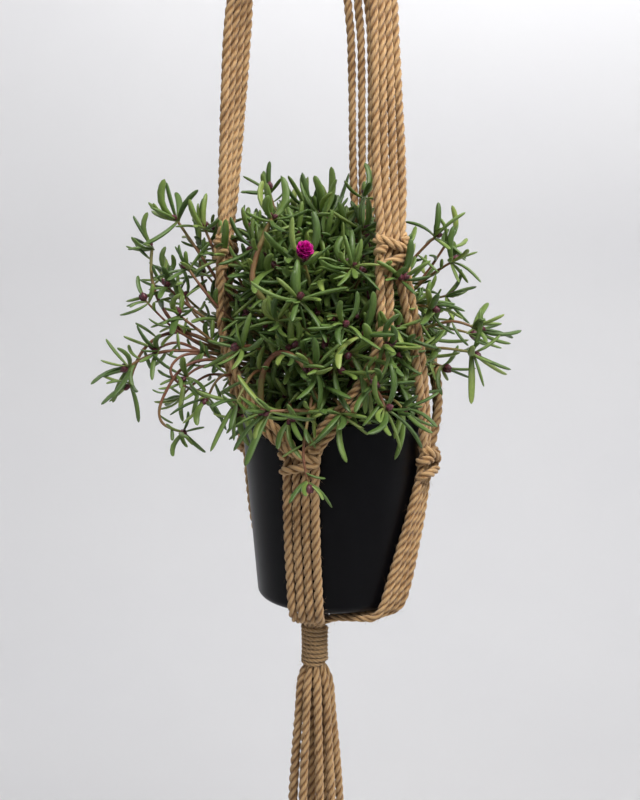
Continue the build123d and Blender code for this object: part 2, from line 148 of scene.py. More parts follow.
GROUPS = {
    "front": [
        (-18.5, 0.0642, -0.018, (0.0062, 0, 0)),
        (-19.6, 0.0625, -0.038, (0.0062, 0, 0)),
        (-20.2, 0.0594, -0.073, (0.0062, 0, 0)),
        (-19.6, 0.0567, -0.105, (0.0062, 0, 0)),
        (-19.0, 0.055, -0.1285, (0.0062, 0, 0)),
        (-21.3, 0.0406, -0.1305, (0.0061, -0.0014, 0)),
    ],
    "side": [
        (72.5, 0.0642, -0.027, (0.0062, 0, -0.0006)),
        (68.5, 0.062, -0.047, (0.0061, 0, -0.0016)),
        (60.5, 0.0594, -0.073, (0.006, 0, -0.002)),
        (50.5, 0.0568, -0.103, (0.006, 0, -0.0018)),
        (41.5, 0.055, -0.1285, (0.0063, 0, 0)),
        (28.6, 0.04, -0.129, (0.0049, -0.004, 0)),
        (4.7, 0.0281, -0.1305, (0.0028, -0.0056, 0)),
    ],
    "back": [
        (240.0, 0.0642, -0.023, (0.0062, 0, 0)),
        (241.2, 0.0622, -0.043, (0.0062, 0, 0)),
        (240.0, 0.0595, -0.073, (0.0062, 0, -0.0008)),
        (232.5, 0.0569, -0.102, (0.006, 0, -0.0018)),
        (223.0, 0.0558, -0.1288, (0.0063, 0, 0)),
        (240.8, 0.0314, -0.129, (0.0048, 0.0039, 0)),
        (291.3, 0.0198, -0.1305, (0, 0.0062, 0)),
    ],
}
# Each pair's places in its arm's row and in its group's row, in steps from the middle.
SLOTS = {
    ("left", "front"): (1, -1),
    ("right", "front"): (-1, 1),
    ("right", "side"): (1, -1),
    ("rear", "side"): (-1, 1),
    ("rear", "back"): (1, -1),
    ("left", "back"): (-1, 1),
}
# A tassel strand is: azimuth about the wrap's axis at its top, how far it drifts in azimuth
# by its end, distance from the axis at four heights, and the height of its cut end.
TASSEL_HEIGHTS = (-0.175, -0.198, -0.228, -0.264)
TASSEL = [
    (10, 4, (0.0098, 0.011, 0.0136, 0.016), -0.301),
    (50, -3, (0.0098, 0.0108, 0.013, 0.0154), -0.296),
    (90, 5, (0.0098, 0.0112, 0.0142, 0.0172), -0.304),
    (130, 2, (0.0098, 0.0109, 0.0134, 0.0156), -0.298),
    (170, -4, (0.0098, 0.0111, 0.0138, 0.0164), -0.293),
    (210, 3, (0.0098, 0.0108, 0.013, 0.0152), -0.302),
    (250, -2, (0.0098, 0.011, 0.014, 0.017), -0.299),
    (290, 4, (0.0098, 0.0112, 0.0136, 0.0162), -0.305),
    (330, -3, (0.0098, 0.0109, 0.0132, 0.0156), -0.297),
    (340, 6, (0.0036, 0.0038, 0.0054, 0.0074), -0.3),
    (100, -5, (0.0036, 0.0039, 0.0056, 0.0078), -0.295),
    (220, 6, (0.0036, 0.0038, 0.0052, 0.007), -0.303),
]
# How far each arm's strands run from the wooden ring to the wrap, first the left pair's.
BRIDLE_AZIMUTHS = {"front": -25.0, "right": 95.0, "left": 215.0}
BRIDLE = [(0.051, -0.1555), (0.0094, -0.101), (0.0038, -0.082)]
ARM_AZIMUTHS = {"left": -85.0, "right": 35.0, "rear": 155.0}
HITCH_STEP_DEG = 8.1
KNOT_PULL = 0.72                # how far an arm's row is drawn in at its knot
# Side and back strands are pressed thinner as they come under the pot's foot: between these
# two heights above the rim their thickness goes from this share to the whole.
UNDER_LOW, UNDER_HIGH, UNDER_SLIM = -0.127, -0.112, 0.78


def polar(azimuth, distance, height, centre):
    """A point at an azimuth and distance from a vertical axis."""
    a = math.radians(azimuth)
    return Vector((centre[0] + distance * math.sin(a), centre[1] - distance * math.cos(a), height))


def row_axes(azimuth):
    """The directions along a row and outward from the pot at an azimuth."""
    a = math.radians(azimuth)
    return Vector((math.cos(a), math.sin(a), 0)), Vector((math.sin(a), -math.cos(a), 0))


def in_row(station, steps):
    """The place of one strand, so many steps along a station's row."""
    azimuth, distance, height, (along, outward, up) = station
    side, out = row_axes(azimuth)
    middle = polar(azimuth, distance, RIM_Z + height, (POT_X, 0))
    return middle + (side * along + out * outward + Vector((0, 0, up))) * steps


def strand_route(arm, group, half):
    """One strand's points, from its turn on the wooden ring to inside the gathering wrap."""
    arm_slot, group_slot = SLOTS[arm, group]
    points = [in_row(s, arm_slot + half) for s in ARMS[arm]]
    points[-1] = in_row(ARMS[arm][-1], (arm_slot + half) * KNOT_PULL)
    points += [in_row(s, half) for s in PAIRS[arm, group]]
    points[len(ARMS[arm])] += (points[len(ARMS[arm]) - 1] - points[len(ARMS[arm])]) * (1 - KNOT_PULL)
    points += [in_row(s, group_slot + half) for s in GROUPS[group]]
    turn_in = points[-1] - Vector((*GATHER, points[-1].z))
    points[-1] = Vector((*GATHER, RIM_Z - 0.1325)) + turn_in * 0.62
    points.append(Vector((*GATHER, RIM_Z - 0.141)) + turn_in * 0.3)
    return points


# ---------------------------------------------------------------- camera
def photo_camera():
    """The camera at the photograph's place."""
    data = bpy.data.cameras.new("camera")
    data.lens, data.sensor_width, data.sensor_fit = 50.0, 36.0, "AUTO"
    data.clip_start, data.clip_end = 0.01, 50.0
    camera = bpy.data.objects.new("camera", data)
    bpy.context.scene.collection.objects.link(camera)
    camera.location = (-0.005, -0.740, RIM_Z + 0.1014)
    camera.rotation_euler = (math.radians(82.8), 0.0, 0.0)
    bpy.context.scene.camera = camera


# ---------------------------------------------------------------- mesh tools
def linked(name, mesh):
    """A mesh object in the scene."""
    piece = bpy.data.objects.new(name, mesh)
    bpy.context.scene.collection.objects.link(piece)
    return piece


def smooth_line(points, per_run=36):
    """The points of the smooth NURBS line that has these control points."""
    curve = bpy.data.curves.new("route", "CURVE")
    curve.dimensions = "3D"
    curve.resolution_u = per_run
    spline = curve.splines.new("NURBS")
    spline.points.add(len(points) - 1)
    for place, point in zip(spline.points, points):
        place.co = (*point, 1.0)
    spline.order_u = 3
    spline.use_endpoint_u = True
    spline.resolution_u = per_run
    holder = linked("route", curve)
    bpy.context.view_layer.update()
    mesh = bpy.data.meshes.new_from_object(holder)
    line = np.array([v.co for v in mesh.vertices])
    bpy.data.objects.remove(holder)
    bpy.data.curves.remove(curve)
    bpy.data.meshes.remove(mesh)
    return line


def along(line):
    """Distance run, direction, and two directions square to it, at each point of a line."""
    lengths = np.linalg.norm(np.diff(line, axis=0), axis=1)
    run = np.concatenate([[0.0], np.cumsum(lengths)])
    tangent = np.gradient(line, axis=0)
    tangent /= np.linalg.norm(tangent, axis=1)[:, None]
    seed = np.array([0.0, 1.0, 0.0]) if abs(tangent[0][1]) < 0.8 else np.array([1.0, 0.0, 0.0])
    side = [np.cross(seed, tangent[0])]
    for t in tangent:
        square = side[-1] - t * np.dot(side[-1], t)
        side.append(square / np.linalg.norm(square))
    side = np.array(side[1:])
    return run, tangent, side, np.cross(tangent, side)


def grid_mesh(name, rings, uv=None, crest=None, capped=True):
    """A tube mesh through rings of points, with its UV map and its crest attribute."""
    count, around, _ = rings.shape
    i = np.arange(count - 1)[:, None] * around
    j = np.arange(around)[None, :]
    k = (j + 1) % around
    quads = np.stack([i + j, i + k, i + around + k, i + around + j], axis=-1).reshape(-1, 4)
    faces = quads.tolist()
    if capped:
        faces.append(list(range(around))[::-1])
        faces.append(list(range((count - 1) * around, count * around)))
    mesh = bpy.data.meshes.new(name)
    mesh.from_pydata(rings.reshape(-1, 3).tolist(), [], faces)
    mesh.polygons.foreach_set("use_smooth", np.ones(len(faces), bool))
    if uv is not None:
        corner = np.stack([uv[:-1, :-1], uv[:-1, 1:], uv[1:, 1:], uv[1:, :-1]], axis=2).reshape(-1, 2)
        flat = np.zeros((len(mesh.loops), 2))
        flat[: len(corner)] = corner
        mesh.uv_layers.new(name="UVMap").data.foreach_set("uv", flat.ravel())
    if crest is not None:
        layer = mesh.attributes.new("crest", "FLOAT", "POINT")
        layer.data.foreach_set("value", crest.reshape(-1).astype(np.float32))
    mesh.update()
    return mesh


def joined(name, meshes):
    """One object made of several meshes, each of which is used up."""
    parts = [linked(f"{name}_part", mesh) for mesh in meshes]
    with bpy.context.temp_override(active_object=parts[0], selected_editable_objects=parts):
        bpy.ops.object.join()
    parts[0].name = name
    return parts[0]


# ---------------------------------------------------------------- rope and twine
PLY_CENTRE, PLY_R = 0.47, 0.53       # a ply's centre and radius, in rope radii


def ply_outline(angles, plies):
    """How far a laid rope's outline is from its middle, in rope radii."""
    gap = 2 * math.pi / plies
    off = (angles + gap / 2) % gap - gap / 2
    return PLY_CENTRE * np.cos(off) + np.sqrt(PLY_R**2 - (PLY_CENTRE * np.sin(off)) ** 2)


def rope_mesh(name, line, radius, pitch, plies=3, slim=None, around=24, start_turn=0.0):
    """A rope of laid plies along a line; slim gives its thickness at each point, from 0 to 1."""
    run, _, side, up = along(line)
    angles = np.linspace(0, 2 * math.pi, around, endpoint=False)
    outline = ply_outline(angles, plies)
    turn = (run / pitch * 2 * math.pi + start_turn)[:, None] + angles[None, :]
    slim = np.ones(len(run)) if slim is None else slim
    uneven = 1 + 0.025 * np.sin(run / 0.017 + start_turn) + 0.02 * np.sin(run / 0.0061 + 2 * start_turn)
    reach = radius * slim[:, None] * uneven[:, None] * outline[None, :]
    rings = (
        line[:, None, :]
        + (reach * np.cos(turn))[:, :, None] * side[:, None, :]
        + (reach * np.sin(turn))[:, :, None] * up[:, None, :]
    )
    across = np.linspace(0, 1, around + 1)[None, :] + (run / pitch)[:, None] * 0.72
    uv = np.stack([np.repeat(run[:, None], around + 1, axis=1), across], axis=-1)
    # crest runs from 0 in the grooves between the plies to 1 on their tops; the rope materials paint shade
    # in the grooves with it
    lowest = outline.min()
    crest = np.repeat(((outline - lowest) / (1 - lowest))[None, :], len(run), axis=0)
    return grid_mesh(name, rings, uv, crest)


def fuzz_mesh(name, lines, radius, per_metre, rng, longest=0.007):
    """Fine loose fibres standing off ropes along these lines."""
    corners, faces = [], []
    for line in lines:
        run, tangent, side, up = along(line)
        for _ in range(int(per_metre * run[-1])):
            at = rng.integers(2, len(line) - 2)
            angle = rng.uniform(0, 2 * math.pi)
            out = side[at] * math.cos(angle) + up[at] * math.sin(angle)
            lean = tangent[at] * rng.choice([-1, 1]) * rng.uniform(0.4, 1.6)
            sideways = np.cross(out, tangent[at]) * rng.uniform(-0.9, 0.9)
            length = longest * rng.uniform(0.25, 1.0) ** 1.6
            root = line[at] + out * radius * 0.86
            middle = root + (out * 0.5 + lean * 0.6 + sideways * 0.3) * length * 0.5
            tip = middle + (out * rng.uniform(0.0, 0.7) + lean * 0.5 + sideways) * length * 0.5
            width = np.cross(tip - root, out + tangent[at] * 0.3)
            width *= 0.00005 / max(np.linalg.norm(width), 1e-9)
            first = len(corners)
            corners += [root - width, root + width, middle + width, middle - width, tip]
            faces += [(first, first + 1, first + 2, first + 3), (first + 3, first + 2, first + 4)]
    mesh = bpy.data.meshes.new(name)
    mesh.from_pydata(np.array(corners).tolist(), [], faces)
    return linked(name, mesh)


def end_taper(line, start, end, reach=0.012):
    """Thickness along a line that narrows to start and end shares over a short reach."""
    run = along(line)[0]
    near = np.clip(run / reach, 0, 1)
    far = np.clip((run[-1] - run) / reach, 0, 1)
    return (start + (1 - start) * near) * (end + (1 - end) * far)


# ---------------------------------------------------------------- cords
def tie_rope(name, points, node):
    """A short piece of tied rope that rides on the hanger and stands for a CAD node."""
    piece = linked(name, rope_mesh(name, smooth_line(points, 16), ROPE_R, LAY_PITCH))
    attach(piece, "hanger")
    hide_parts(node)
    return piece


def hanger_strands():
    """The twelve strands that cradle the pot, each a taut cord."""
    lines = []
    for number, (arm, group) in enumerate(SLOTS):
        for letter, half in (("a", -0.5), ("b", 0.5)):
            line = smooth_line(strand_route(arm, group, half))
            slim = end_taper(line, 1.0, 0.55)
            under = np.interp(line[:, 2] - RIM_Z, [UNDER_LOW, UNDER_HIGH], [UNDER_SLIM, 1.0])
            slim = slim * (under if group != "front" else 1.0)
            node = f"strand_{arm}_{group}_{letter}"
            turn = 2.4 * number + 3.6 * half
            piece = linked(f"rope_{arm}_{group}_{letter}",
                           rope_mesh(node, line, ROPE_R, LAY_PITCH, slim=slim, start_turn=turn))
            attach(piece, "hanger")
            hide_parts(node)
            lines.append(line)
            ropes.append(piece)
    return lines


def tassel_strands():
    """The twelve strands that hang out of the wrap, bending at its lower edge."""
    lines = []
    for number, (azimuth, drift, distances, end) in enumerate(TASSEL, start=1):
        stations = [(-0.165, min(distances[0] * 0.5, 0.0044)), *zip(TASSEL_HEIGHTS, distances)]
        stations += [(end, distances[-1] + 0.0006)]
        points = [polar(azimuth + drift * (k - 1) / 4, r, RIM_Z + z, GATHER)
                  for k, (z, r) in enumerate(stations)]
        line = smooth_line(points)
        slim = end_taper(line, 0.5, 0.96)
        node = f"tassel_strand_{number:02d}"
        piece = linked(f"tassel_rope_{number:02d}",
                       rope_mesh(node, line, ROPE_R, LAY_PITCH, slim=slim, start_turn=1.7 * number))
        bend_at_wrap(piece)
        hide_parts(node)
        lines.append(line)
        ropes.append(piece)
    return lines


def bend_at_wrap(piece):
    """Bakes a tassel piece's transform into its mesh."""
    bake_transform(piece)


def bridle_cords():
    """The three cords from the wooden ring up to the top wrap."""
    lines = []
    for number, (side, azimuth) in enumerate(BRIDLE_AZIMUTHS.items()):
        line = smooth_line([polar(azimuth, r, z, (0, 0)) for r, z in BRIDLE])
        piece = linked(f"bridle_rope_{side}", rope_mesh(side, line, ROPE_R, LAY_PITCH, start_turn=number))
        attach(piece, "hanger")
        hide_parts(f"bridle_cord_{side}")
        lines.append(line)
        ropes.append(piece)
    return lines


# ---------------------------------------------------------------- knots
# Each bar of a square knot: (along the row, outward, up) points, from where one working
# strand leaves the row on the left, over the front, to where it tucks in on the right.
KNOT_BARS = [
    [(-0.0086, -0.002, 0.0095), (-0.0118, 0.001, 0.0072), (-0.0082, 0.0052, 0.0056), (0.0, 0.0066, 0.0030),
     (0.0082, 0.0054, 0.0006), (0.0118, 0.001, -0.0012), (0.0090, -0.0025, -0.0034)],
    [(0.0088, -0.0022, 0.0012), (0.0121, 0.001, -0.0016), (0.0084, 0.0050, -0.0040), (0.0, 0.0060, -0.0062),
     (-0.0084, 0.0048, -0.0084), (-0.0116, 0.001, -0.0098), (-0.0086, -0.002, -0.0118)],
]
KNOT_BOWS = [
    [(-0.0086, -0.003, -0.0016), (-0.0122, 0.0, -0.0004),
     (-0.0112, 0.0038, 0.0012), (-0.0074, 0.0044, 0.0004)],
    [(0.0086, -0.003, 0.0058), (0.0122, 0.0, 0.0068), (0.0110, 0.0038, 0.0060), (0.0072, 0.0042, 0.0050)],
]


def knot_place(above, below):
    """The middle of a knot and its directions along the row, outward and up."""
    top, bottom = in_row(above, 0), in_row(below, 0)
    across = (in_row(above, 1) - in_row(above, -1) + in_row(below, 1) - in_row(below, -1)).normalized()
    up = (top - bottom).normalized()
    across = (across - up * across.dot(up)).normalized()
    return (top + bottom) / 2, across, up.cross(across) * -1, up


def square_knot(name, place, node, both_faces, girth=1.0):
    """The working strands of a square knot, tied round the row's two middle strands."""
    middle, across, out, up = place
    across, out = across * girth, out * girth
    meshes = []
    for number, bar in enumerate(KNOT_BARS + KNOT_BOWS):
        for face in ((1, -1) if both_faces else (1,)):
            points = [middle + (across * x + out * y) * face + up * z for x, y, z in bar]
            line = smooth_line(points, 14)
            meshes.append(rope_mesh(name, line, ROPE_R, LAY_PITCH, start_turn=1.3 * number + face))
    piece = joined(name, meshes)
    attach(piece, "hanger")
    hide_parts(node)
    ropes.append(piece)


ARM_SPLITS = {
    "left": (("left", "back"), ("left", "front")),
    "right": (("right", "front"), ("right", "side")),
    "rear": (("rear", "side"), ("rear", "back")),
}


ARM_KNOT_GIRTH = 0.8            # an arm's knot is pulled tighter than a knot on the pot
POT_KNOT_OUT, POT_KNOT_REACH = 0.0015, 0.016


def knots():
    """Three knots where the arms split and three where the pairs meet on the pot."""
    for arm, (lower_pair, upper_pair) in ARM_SPLITS.items():
        first, second = PAIRS[lower_pair][0], PAIRS[upper_pair][0]
        below = ((first[0] + second[0]) / 2, (first[1] + second[1]) / 2, first[2], first[3])
        place = knot_place(ARMS[arm][-1], below)
        square_knot(f"arm_knot_{arm}", place, f"upper_knot_{arm}", True, ARM_KNOT_GIRTH)
    for group, stations in GROUPS.items():
        azimuth, distance, height, step = stations[0]
        next_azimuth, next_distance, next_height, next_step = stations[1]
        above = (azimuth, distance + POT_KNOT_OUT, height + POT_KNOT_REACH, step)
        below = (next_azimuth, next_distance + POT_KNOT_OUT, next_height, next_step)
        square_knot(f"pot_knot_{group}", knot_place(above, below), f"lower_knot_{group}", False)


# One lark's head beside the wooden ring: (along the ring, outward, up) of half of it, in
# from a strand's end, up the inner side, over, and down the outer side to the bar.
ORBIT = SPREADER_WIRE_R + 0.00015 + ROPE_R
LARK_HALF = [(1, 0.0, -1.24), (1, -0.62, -0.95), (1, -1.12, 0.0), (1, -0.78, 0.82), (1, 0.0, 1.14),
             (1, 0.84, 0.80), (1, 1.16, -0.1), (0.9, 1.10, -0.85), (0.45, 1.02, -1.02)]


def larks_heads():
    """Each arm's four strands are two doubled cords, looped over the ring."""
    for arm, azimuth in ARM_AZIMUTHS.items():
        meshes = []
        for pair in (-1, 1):
            place = polar(azimuth + HITCH_STEP_DEG * pair, SPREADER_MID_R, SPREADER_Z, (0, 0))
            side, out = row_axes(azimuth + HITCH_STEP_DEG * pair)
            half_step = SPREADER_MID_R * math.radians(HITCH_STEP_DEG) / 2
            there = [(-x * half_step, y * ORBIT, z * ORBIT) for x, y, z in LARK_HALF]
            back = [(-x, y, z) for x, y, z in reversed(there)]
            points = [place + side * x + out * y + Vector((0, 0, z)) for x, y, z in there + back]
            meshes.append(rope_mesh(arm, smooth_line(points, 12), ROPE_R, LAY_PITCH, start_turn=pair))
        piece = joined(f"ring_knots_{arm}", meshes)
        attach(piece, "hanger")
        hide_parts(f"larks_heads_{arm}")
        ropes.append(piece)


def bridle_hitches():
    """A round turn of each bridle cord on the wooden ring."""
    turns, per_turn = 1.25, 12
    for side_name, azimuth in BRIDLE_AZIMUTHS.items():
        place = polar(azimuth, SPREADER_MID_R, SPREADER_Z, (0, 0))
        side, out = row_axes(azimuth)
        points = []
        for k in range(int(turns * per_turn) + 1):
            a = 2 * math.pi * k / per_turn + 0.5
            drift = (k / per_turn - turns / 2) * ROPE_D * 0.95
            ring = (out * math.sin(a) + Vector((0, 0, 1)) * math.cos(a)) * ORBIT * 1.035
            points.append(place + side * drift + ring)
        ropes.append(tie_rope(f"ring_hitch_{side_name}", points, f"bridle_hitch_{side_name}"))


def hanging_eye():
    """The doubled rope that goes through the steel ring."""
    eye_z = RING_LOW.z + (RING_HIGH.y - RING_LOW.y) / 2
    reach = (RING_HIGH.y - RING_LOW.y) / 2 + 0.0003 + ROPE_R
    half = [(0.0052, -0.078), (reach, -0.064), (reach * 1.02, eye_z - 0.003), (reach * 0.98, eye_z + 0.0034),
            (reach * 0.5, eye_z + 0.0066)]
    points = [Vector((0, -y, z)) for y, z in half] + [Vector((0, y, z)) for y, z in reversed(half)]
    ropes.append(tie_rope("ring_eye", points, "hanging_loop"))


GATHERING_R, TOP_TWINE_R = 0.0081, 0.0079     # from a wrap's axis to the middle of its twine
WRAP_WAIST = 0.0004


def wrap_twine(name, centre, top, bottom, radius, node, waist=0.0):
    """Close turns of twine from top to bottom, both ends tucked in; waist narrows the middle."""
    turns = (top - bottom) / (TWINE_D * 0.98)
    count = int(turns * 16)
    share = np.arange(count + 1) / count
    angle = 2 * math.pi * turns * share
    r = radius - waist * np.sin(math.pi * share)
    r[:6] = radius - TWINE_D * (1 - np.arange(6) / 6)
    r[-6:] = radius - TWINE_D * np.arange(6) / 6
    points = np.stack([centre[0] + r * np.cos(angle), centre[1] + r * np.sin(angle),
                       top + (bottom - top) * share], axis=1)
    line = smooth_line(points, 3)
    piece = linked(name, rope_mesh(name, line, TWINE_D / 2, TWINE_PITCH, around=12))
    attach(piece, "hanger")
    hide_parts(node)
    return piece, line


def gathered_core():
    """The strands squeezed together inside the gathering wrap."""
    heights = np.array([-0.134, -0.137, -0.141, -0.150, -0.160, -0.166])
    radii = np.array([0.0088, 0.0078, 0.0064, 0.0061, 0.0061, 0.0056])
    line = smooth_line([Vector((*GATHER, RIM_Z + z)) for z in heights], 10)
    run, _, side, up = along(line)
    around = 72
    angles = np.linspace(0, 2 * math.pi, around, endpoint=False)
    radius = np.interp(-line[:, 2], -(heights + RIM_Z), radii)
    lobes = 1 + 0.10 * np.abs(np.sin(6 * angles))
    turn = angles[None, :] + run[:, None] * 12
    reach = radius[:, None] * lobes[None, :]
    rings = (line[:, None, :] + (reach * np.cos(turn))[:, :, None] * side[:, None, :]
             + (reach * np.sin(turn))[:, :, None] * up[:, None, :])
    uv = np.stack([np.repeat(run[:, None], around + 1, axis=1),
                   np.repeat(np.linspace(0, 6, around + 1)[None, :], len(run), axis=0)], axis=-1)
    # crest is 0 between the squeezed strands, where the rope material paints shade
    crest = np.repeat(((lobes - 1) / 0.10)[None, :], len(run), axis=0)
    piece = linked("squeezed_strands", grid_mesh("squeezed_strands", rings, uv, crest))
    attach(piece, "hanger")
    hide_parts("gathering_bundle")
    ropes.append(piece)


# One of the neck's three strands: (turn in degrees, distance from the axis, height).
NECK_STRAND = [(0, 0.0022, -0.164), (30, 0.0034, -0.178), (60, 0.0058, -0.196), (70, 0.0066, -0.214)]


def tassel_core():
    """A short tuft of inner strands that fills the tassel's neck."""
    meshes = []
    for azimuth in (0, 120, 240):
        points = [polar(azimuth + turn, r, RIM_Z + z, GATHER) for turn, r, z in NECK_STRAND]
        line = smooth_line(points, 14)
        meshes.append(rope_mesh("core", line, ROPE_R * 0.8, LAY_PITCH, slim=end_taper(line, 0.7, 0.3)))
    piece = joined("tassel_neck", meshes)
    bend_at_wrap(piece)
    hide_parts("tassel_head")
    ropes.append(piece)


# ---------------------------------------------------------------- soil
def soil():
    """Crumbly potting mix in the pot's own shape, heaped unevenly on top."""
    low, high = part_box("potting_mix")
    radius, foot = (high.x - low.x) / 2, POT_HIGH.x - POT_X - 0.0145
    profile = [(0.0, low.z), (foot * 0.5, low.z), (foot, low.z + 0.001), (foot + 0.001, low.z + 0.006)]
    profile += [(foot + 0.001 + (radius - foot - 0.001) * s, low.z + 0.006 + (high.z - low.z - 0.006) * s)
                for s in (0.5, 1.0)]
    profile += [(radius * s, high.z) for s in np.linspace(0.97, 0.0, 22)]
    around = 96
    rng = np.random.default_rng(4)
    angles = np.linspace(0, 2 * math.pi, around, endpoint=False)
    bumps = rng.uniform(-1, 1, (len(profile), around)) * 0.0011
    rings = []
    for k, (r, z) in enumerate(profile):
        lift = bumps[k] if k > 6 else 0 * angles
        rings.append(np.stack([POT_X + r * np.cos(angles), r * np.sin(angles), z + lift], axis=1))
    mesh = grid_mesh("soil", np.array(rings), capped=False)
    piece = linked("soil", mesh)
    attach(piece, "hanger")
    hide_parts("potting_mix")
    return piece


# ---------------------------------------------------------------- plant
MM = 0.001
LEAF_STATIONS = np.array([0.0, 0.08, 0.2, 0.38, 0.56, 0.74, 0.88, 0.96, 1.0])
LEAF_WIDTHS = np.array([0.46, 0.56, 0.74, 0.92, 1.0, 0.97, 0.84, 0.58, 0.12])
LEAF_AROUND = 8


class Greenery:
    """Gathers the leaves, stems and buds of one region into three meshes."""

    def __init__(self, seed):
        self.rng = np.random.default_rng(seed)
        self.leaf_rings, self.leaf_tone, self.stems, self.buds = [], [], [], []

    def leaf(self, base, direction, length, curl, droop):
        """A fleshy narrow leaf from base, which curls towards its upper side and droops."""
        rng = self.rng
        d = unit(direction)
        upper = unit(np.cross(np.cross(d, [0.05, 0.02, 1.0]), d))
        across = np.cross(d, upper)
        width = length * rng.uniform(0.044, 0.066) + 0.0007
        bend = curl * LEAF_STATIONS**2
        spine = (base[None, :] + np.outer(LEAF_STATIONS * length * (1 - 0.12 * abs(curl)), d)
                 + np.outer(bend * length * 0.42, upper)
                 + np.outer(-(LEAF_STATIONS**2) * droop * length, [0, 0, 1.0])
                 + np.outer(np.sin(LEAF_STATIONS * 2.6) * length * rng.uniform(-0.26, 0.26), across))
        tangent = np.gradient(spine, axis=0)
        tangent /= np.linalg.norm(tangent, axis=1)[:, None]
        wide = np.cross(tangent, upper)
        wide /= np.linalg.norm(wide, axis=1)[:, None]
        thick = np.cross(wide, tangent)
        angles = np.linspace(0, 2 * math.pi, LEAF_AROUND, endpoint=False)
        belly = np.where(np.sin(angles) > 0, 0.34, 0.72)
        rings = (spine[:, None, :]
                 + (LEAF_WIDTHS[:, None] * width * np.cos(angles))[:, :, None] * wide[:, None, :]
                 + (LEAF_WIDTHS[:, None] * width * belly * np.sin(angles))[:, :, None] * thick[:, None, :])
        self.leaf_rings.append(rings)
        self.leaf_tone.append(rng.uniform(0, 1))

    def stem(self, points, radius, tip=0.7):
        """A stem along a smooth line, slimmer at its tip, with slight joints."""
        line = smooth_line(points, 8)
        run, _, side, up = along(line)
        angles = np.linspace(0, 2 * math.pi, 8, endpoint=False)
        size = radius * np.linspace(1.0, tip, len(run)) * (1 + 0.06 * np.sin(run / 0.0016))
        rings = (line[:, None, :] + (size[:, None] * np.cos(angles))[:, :, None] * side[:, None, :]
                 + (size[:, None] * np.sin(angles))[:, :, None] * up[:, None, :])
        self.stems.append(grid_mesh("stem", rings))
        return line

    def bud(self, at, direction, size):
        """A small pointed oval bud."""
        d = unit(direction)
        side = unit(np.cross(d, [0.3, 0.9, 0.2]))
        up = np.cross(d, side)
        angles = np.linspace(0, 2 * math.pi, 10, endpoint=False)
        rings = []
        for s, r in ((0, 0.3), (0.18, 0.8), (0.42, 1.0), (0.66, 0.86), (0.86, 0.45), (1.0, 0.06)):
            ridge = 1 + 0.10 * np.cos(5 * angles)
            ring = at + d * size * 1.35 * s + (np.cos(angles) * ridge)[:, None] * side * size * 0.5 * r
            rings.append(ring + (np.sin(angles) * ridge)[:, None] * up * size * 0.5 * r)
        self.buds.append(grid_mesh("bud", np.array(rings)))

    def rosette(self, at, direction, leaves, length, buds=2):
        """A whorl of spreading leaves with buds at its middle."""
        rng = self.rng
        d = unit(direction)
        side = unit(np.cross(d, [0.2, 0.35, 1.0]))
        up = np.cross(d, side)
        start = rng.uniform(0, 2 * math.pi)
        for k in range(leaves):
            a = start + 2 * math.pi * (k + rng.uniform(-0.3, 0.3)) / leaves
            spread = rng.uniform(0.75, 1.45) if k % 3 else rng.uniform(0.2, 0.7)
            out = side * math.cos(a) + up * math.sin(a)
            way = d * math.cos(spread) + out * math.sin(spread)
            self.leaf(at - d * 0.001 * rng.uniform(0, 2), way, length * rng.uniform(0.70, 1.25),
                      rng.uniform(-0.7, 1.3), rng.uniform(-0.06, 0.30))
        for k in range(buds):
            a = rng.uniform(0, 2 * math.pi)
            way = d + (side * math.cos(a) + up * math.sin(a)) * rng.uniform(0.3, 1.0)
            self.bud(at + unit(way) * 0.0008, way, rng.uniform(0.0030, 0.0048))

    def leaves_along(self, line, spacing, length, bare=0.25, spread=(0.7, 1.3)):
        """Single leaves up a stem, turning round it, from its bare foot to its tip."""
        rng = self.rng
        run, tangent, side, up = along(line)
        angle = rng.uniform(0, 6.0)
        place = run[-1] * bare
        while place < run[-1] * 0.97:
            at = min(int(np.searchsorted(run, place)), len(run) - 1)
            out = side[at] * math.cos(angle) + up[at] * math.sin(angle)
            lean = rng.uniform(*spread)
            way = tangent[at] * math.cos(lean) + out * math.sin(lean)
            self.leaf(line[at], way, length * rng.uniform(0.55, 1.1),
                      rng.uniform(-0.6, 1.2), rng.uniform(-0.04, 0.28))
            place += spacing * rng.uniform(0.6, 1.4)
            angle += 2.4 + rng.uniform(-0.4, 0.4)

    def pieces(self, name, node):
        """The region's leaves, stems and buds as objects that ride on the hanger."""
        leaf_meshes = leaves_mesh(name, self.leaf_rings, self.leaf_tone)
        made = [("leaves", linked(f"leaves_{name}", leaf_meshes), "leaves")]
        if self.stems:
            made.append(("stems", joined(f"stems_{name}", self.stems), "stems"))
        if self.buds:
            made.append(("buds", joined(f"buds_{name}", self.buds), "stems"))
        for kind, piece, slot in made:
            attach(piece, "hanger")
            plant[kind].append(piece)
        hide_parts(node)


def unit(v):
    """A vector of length one."""
    v = np.asarray(v, float)
    return v / np.linalg.norm(v)


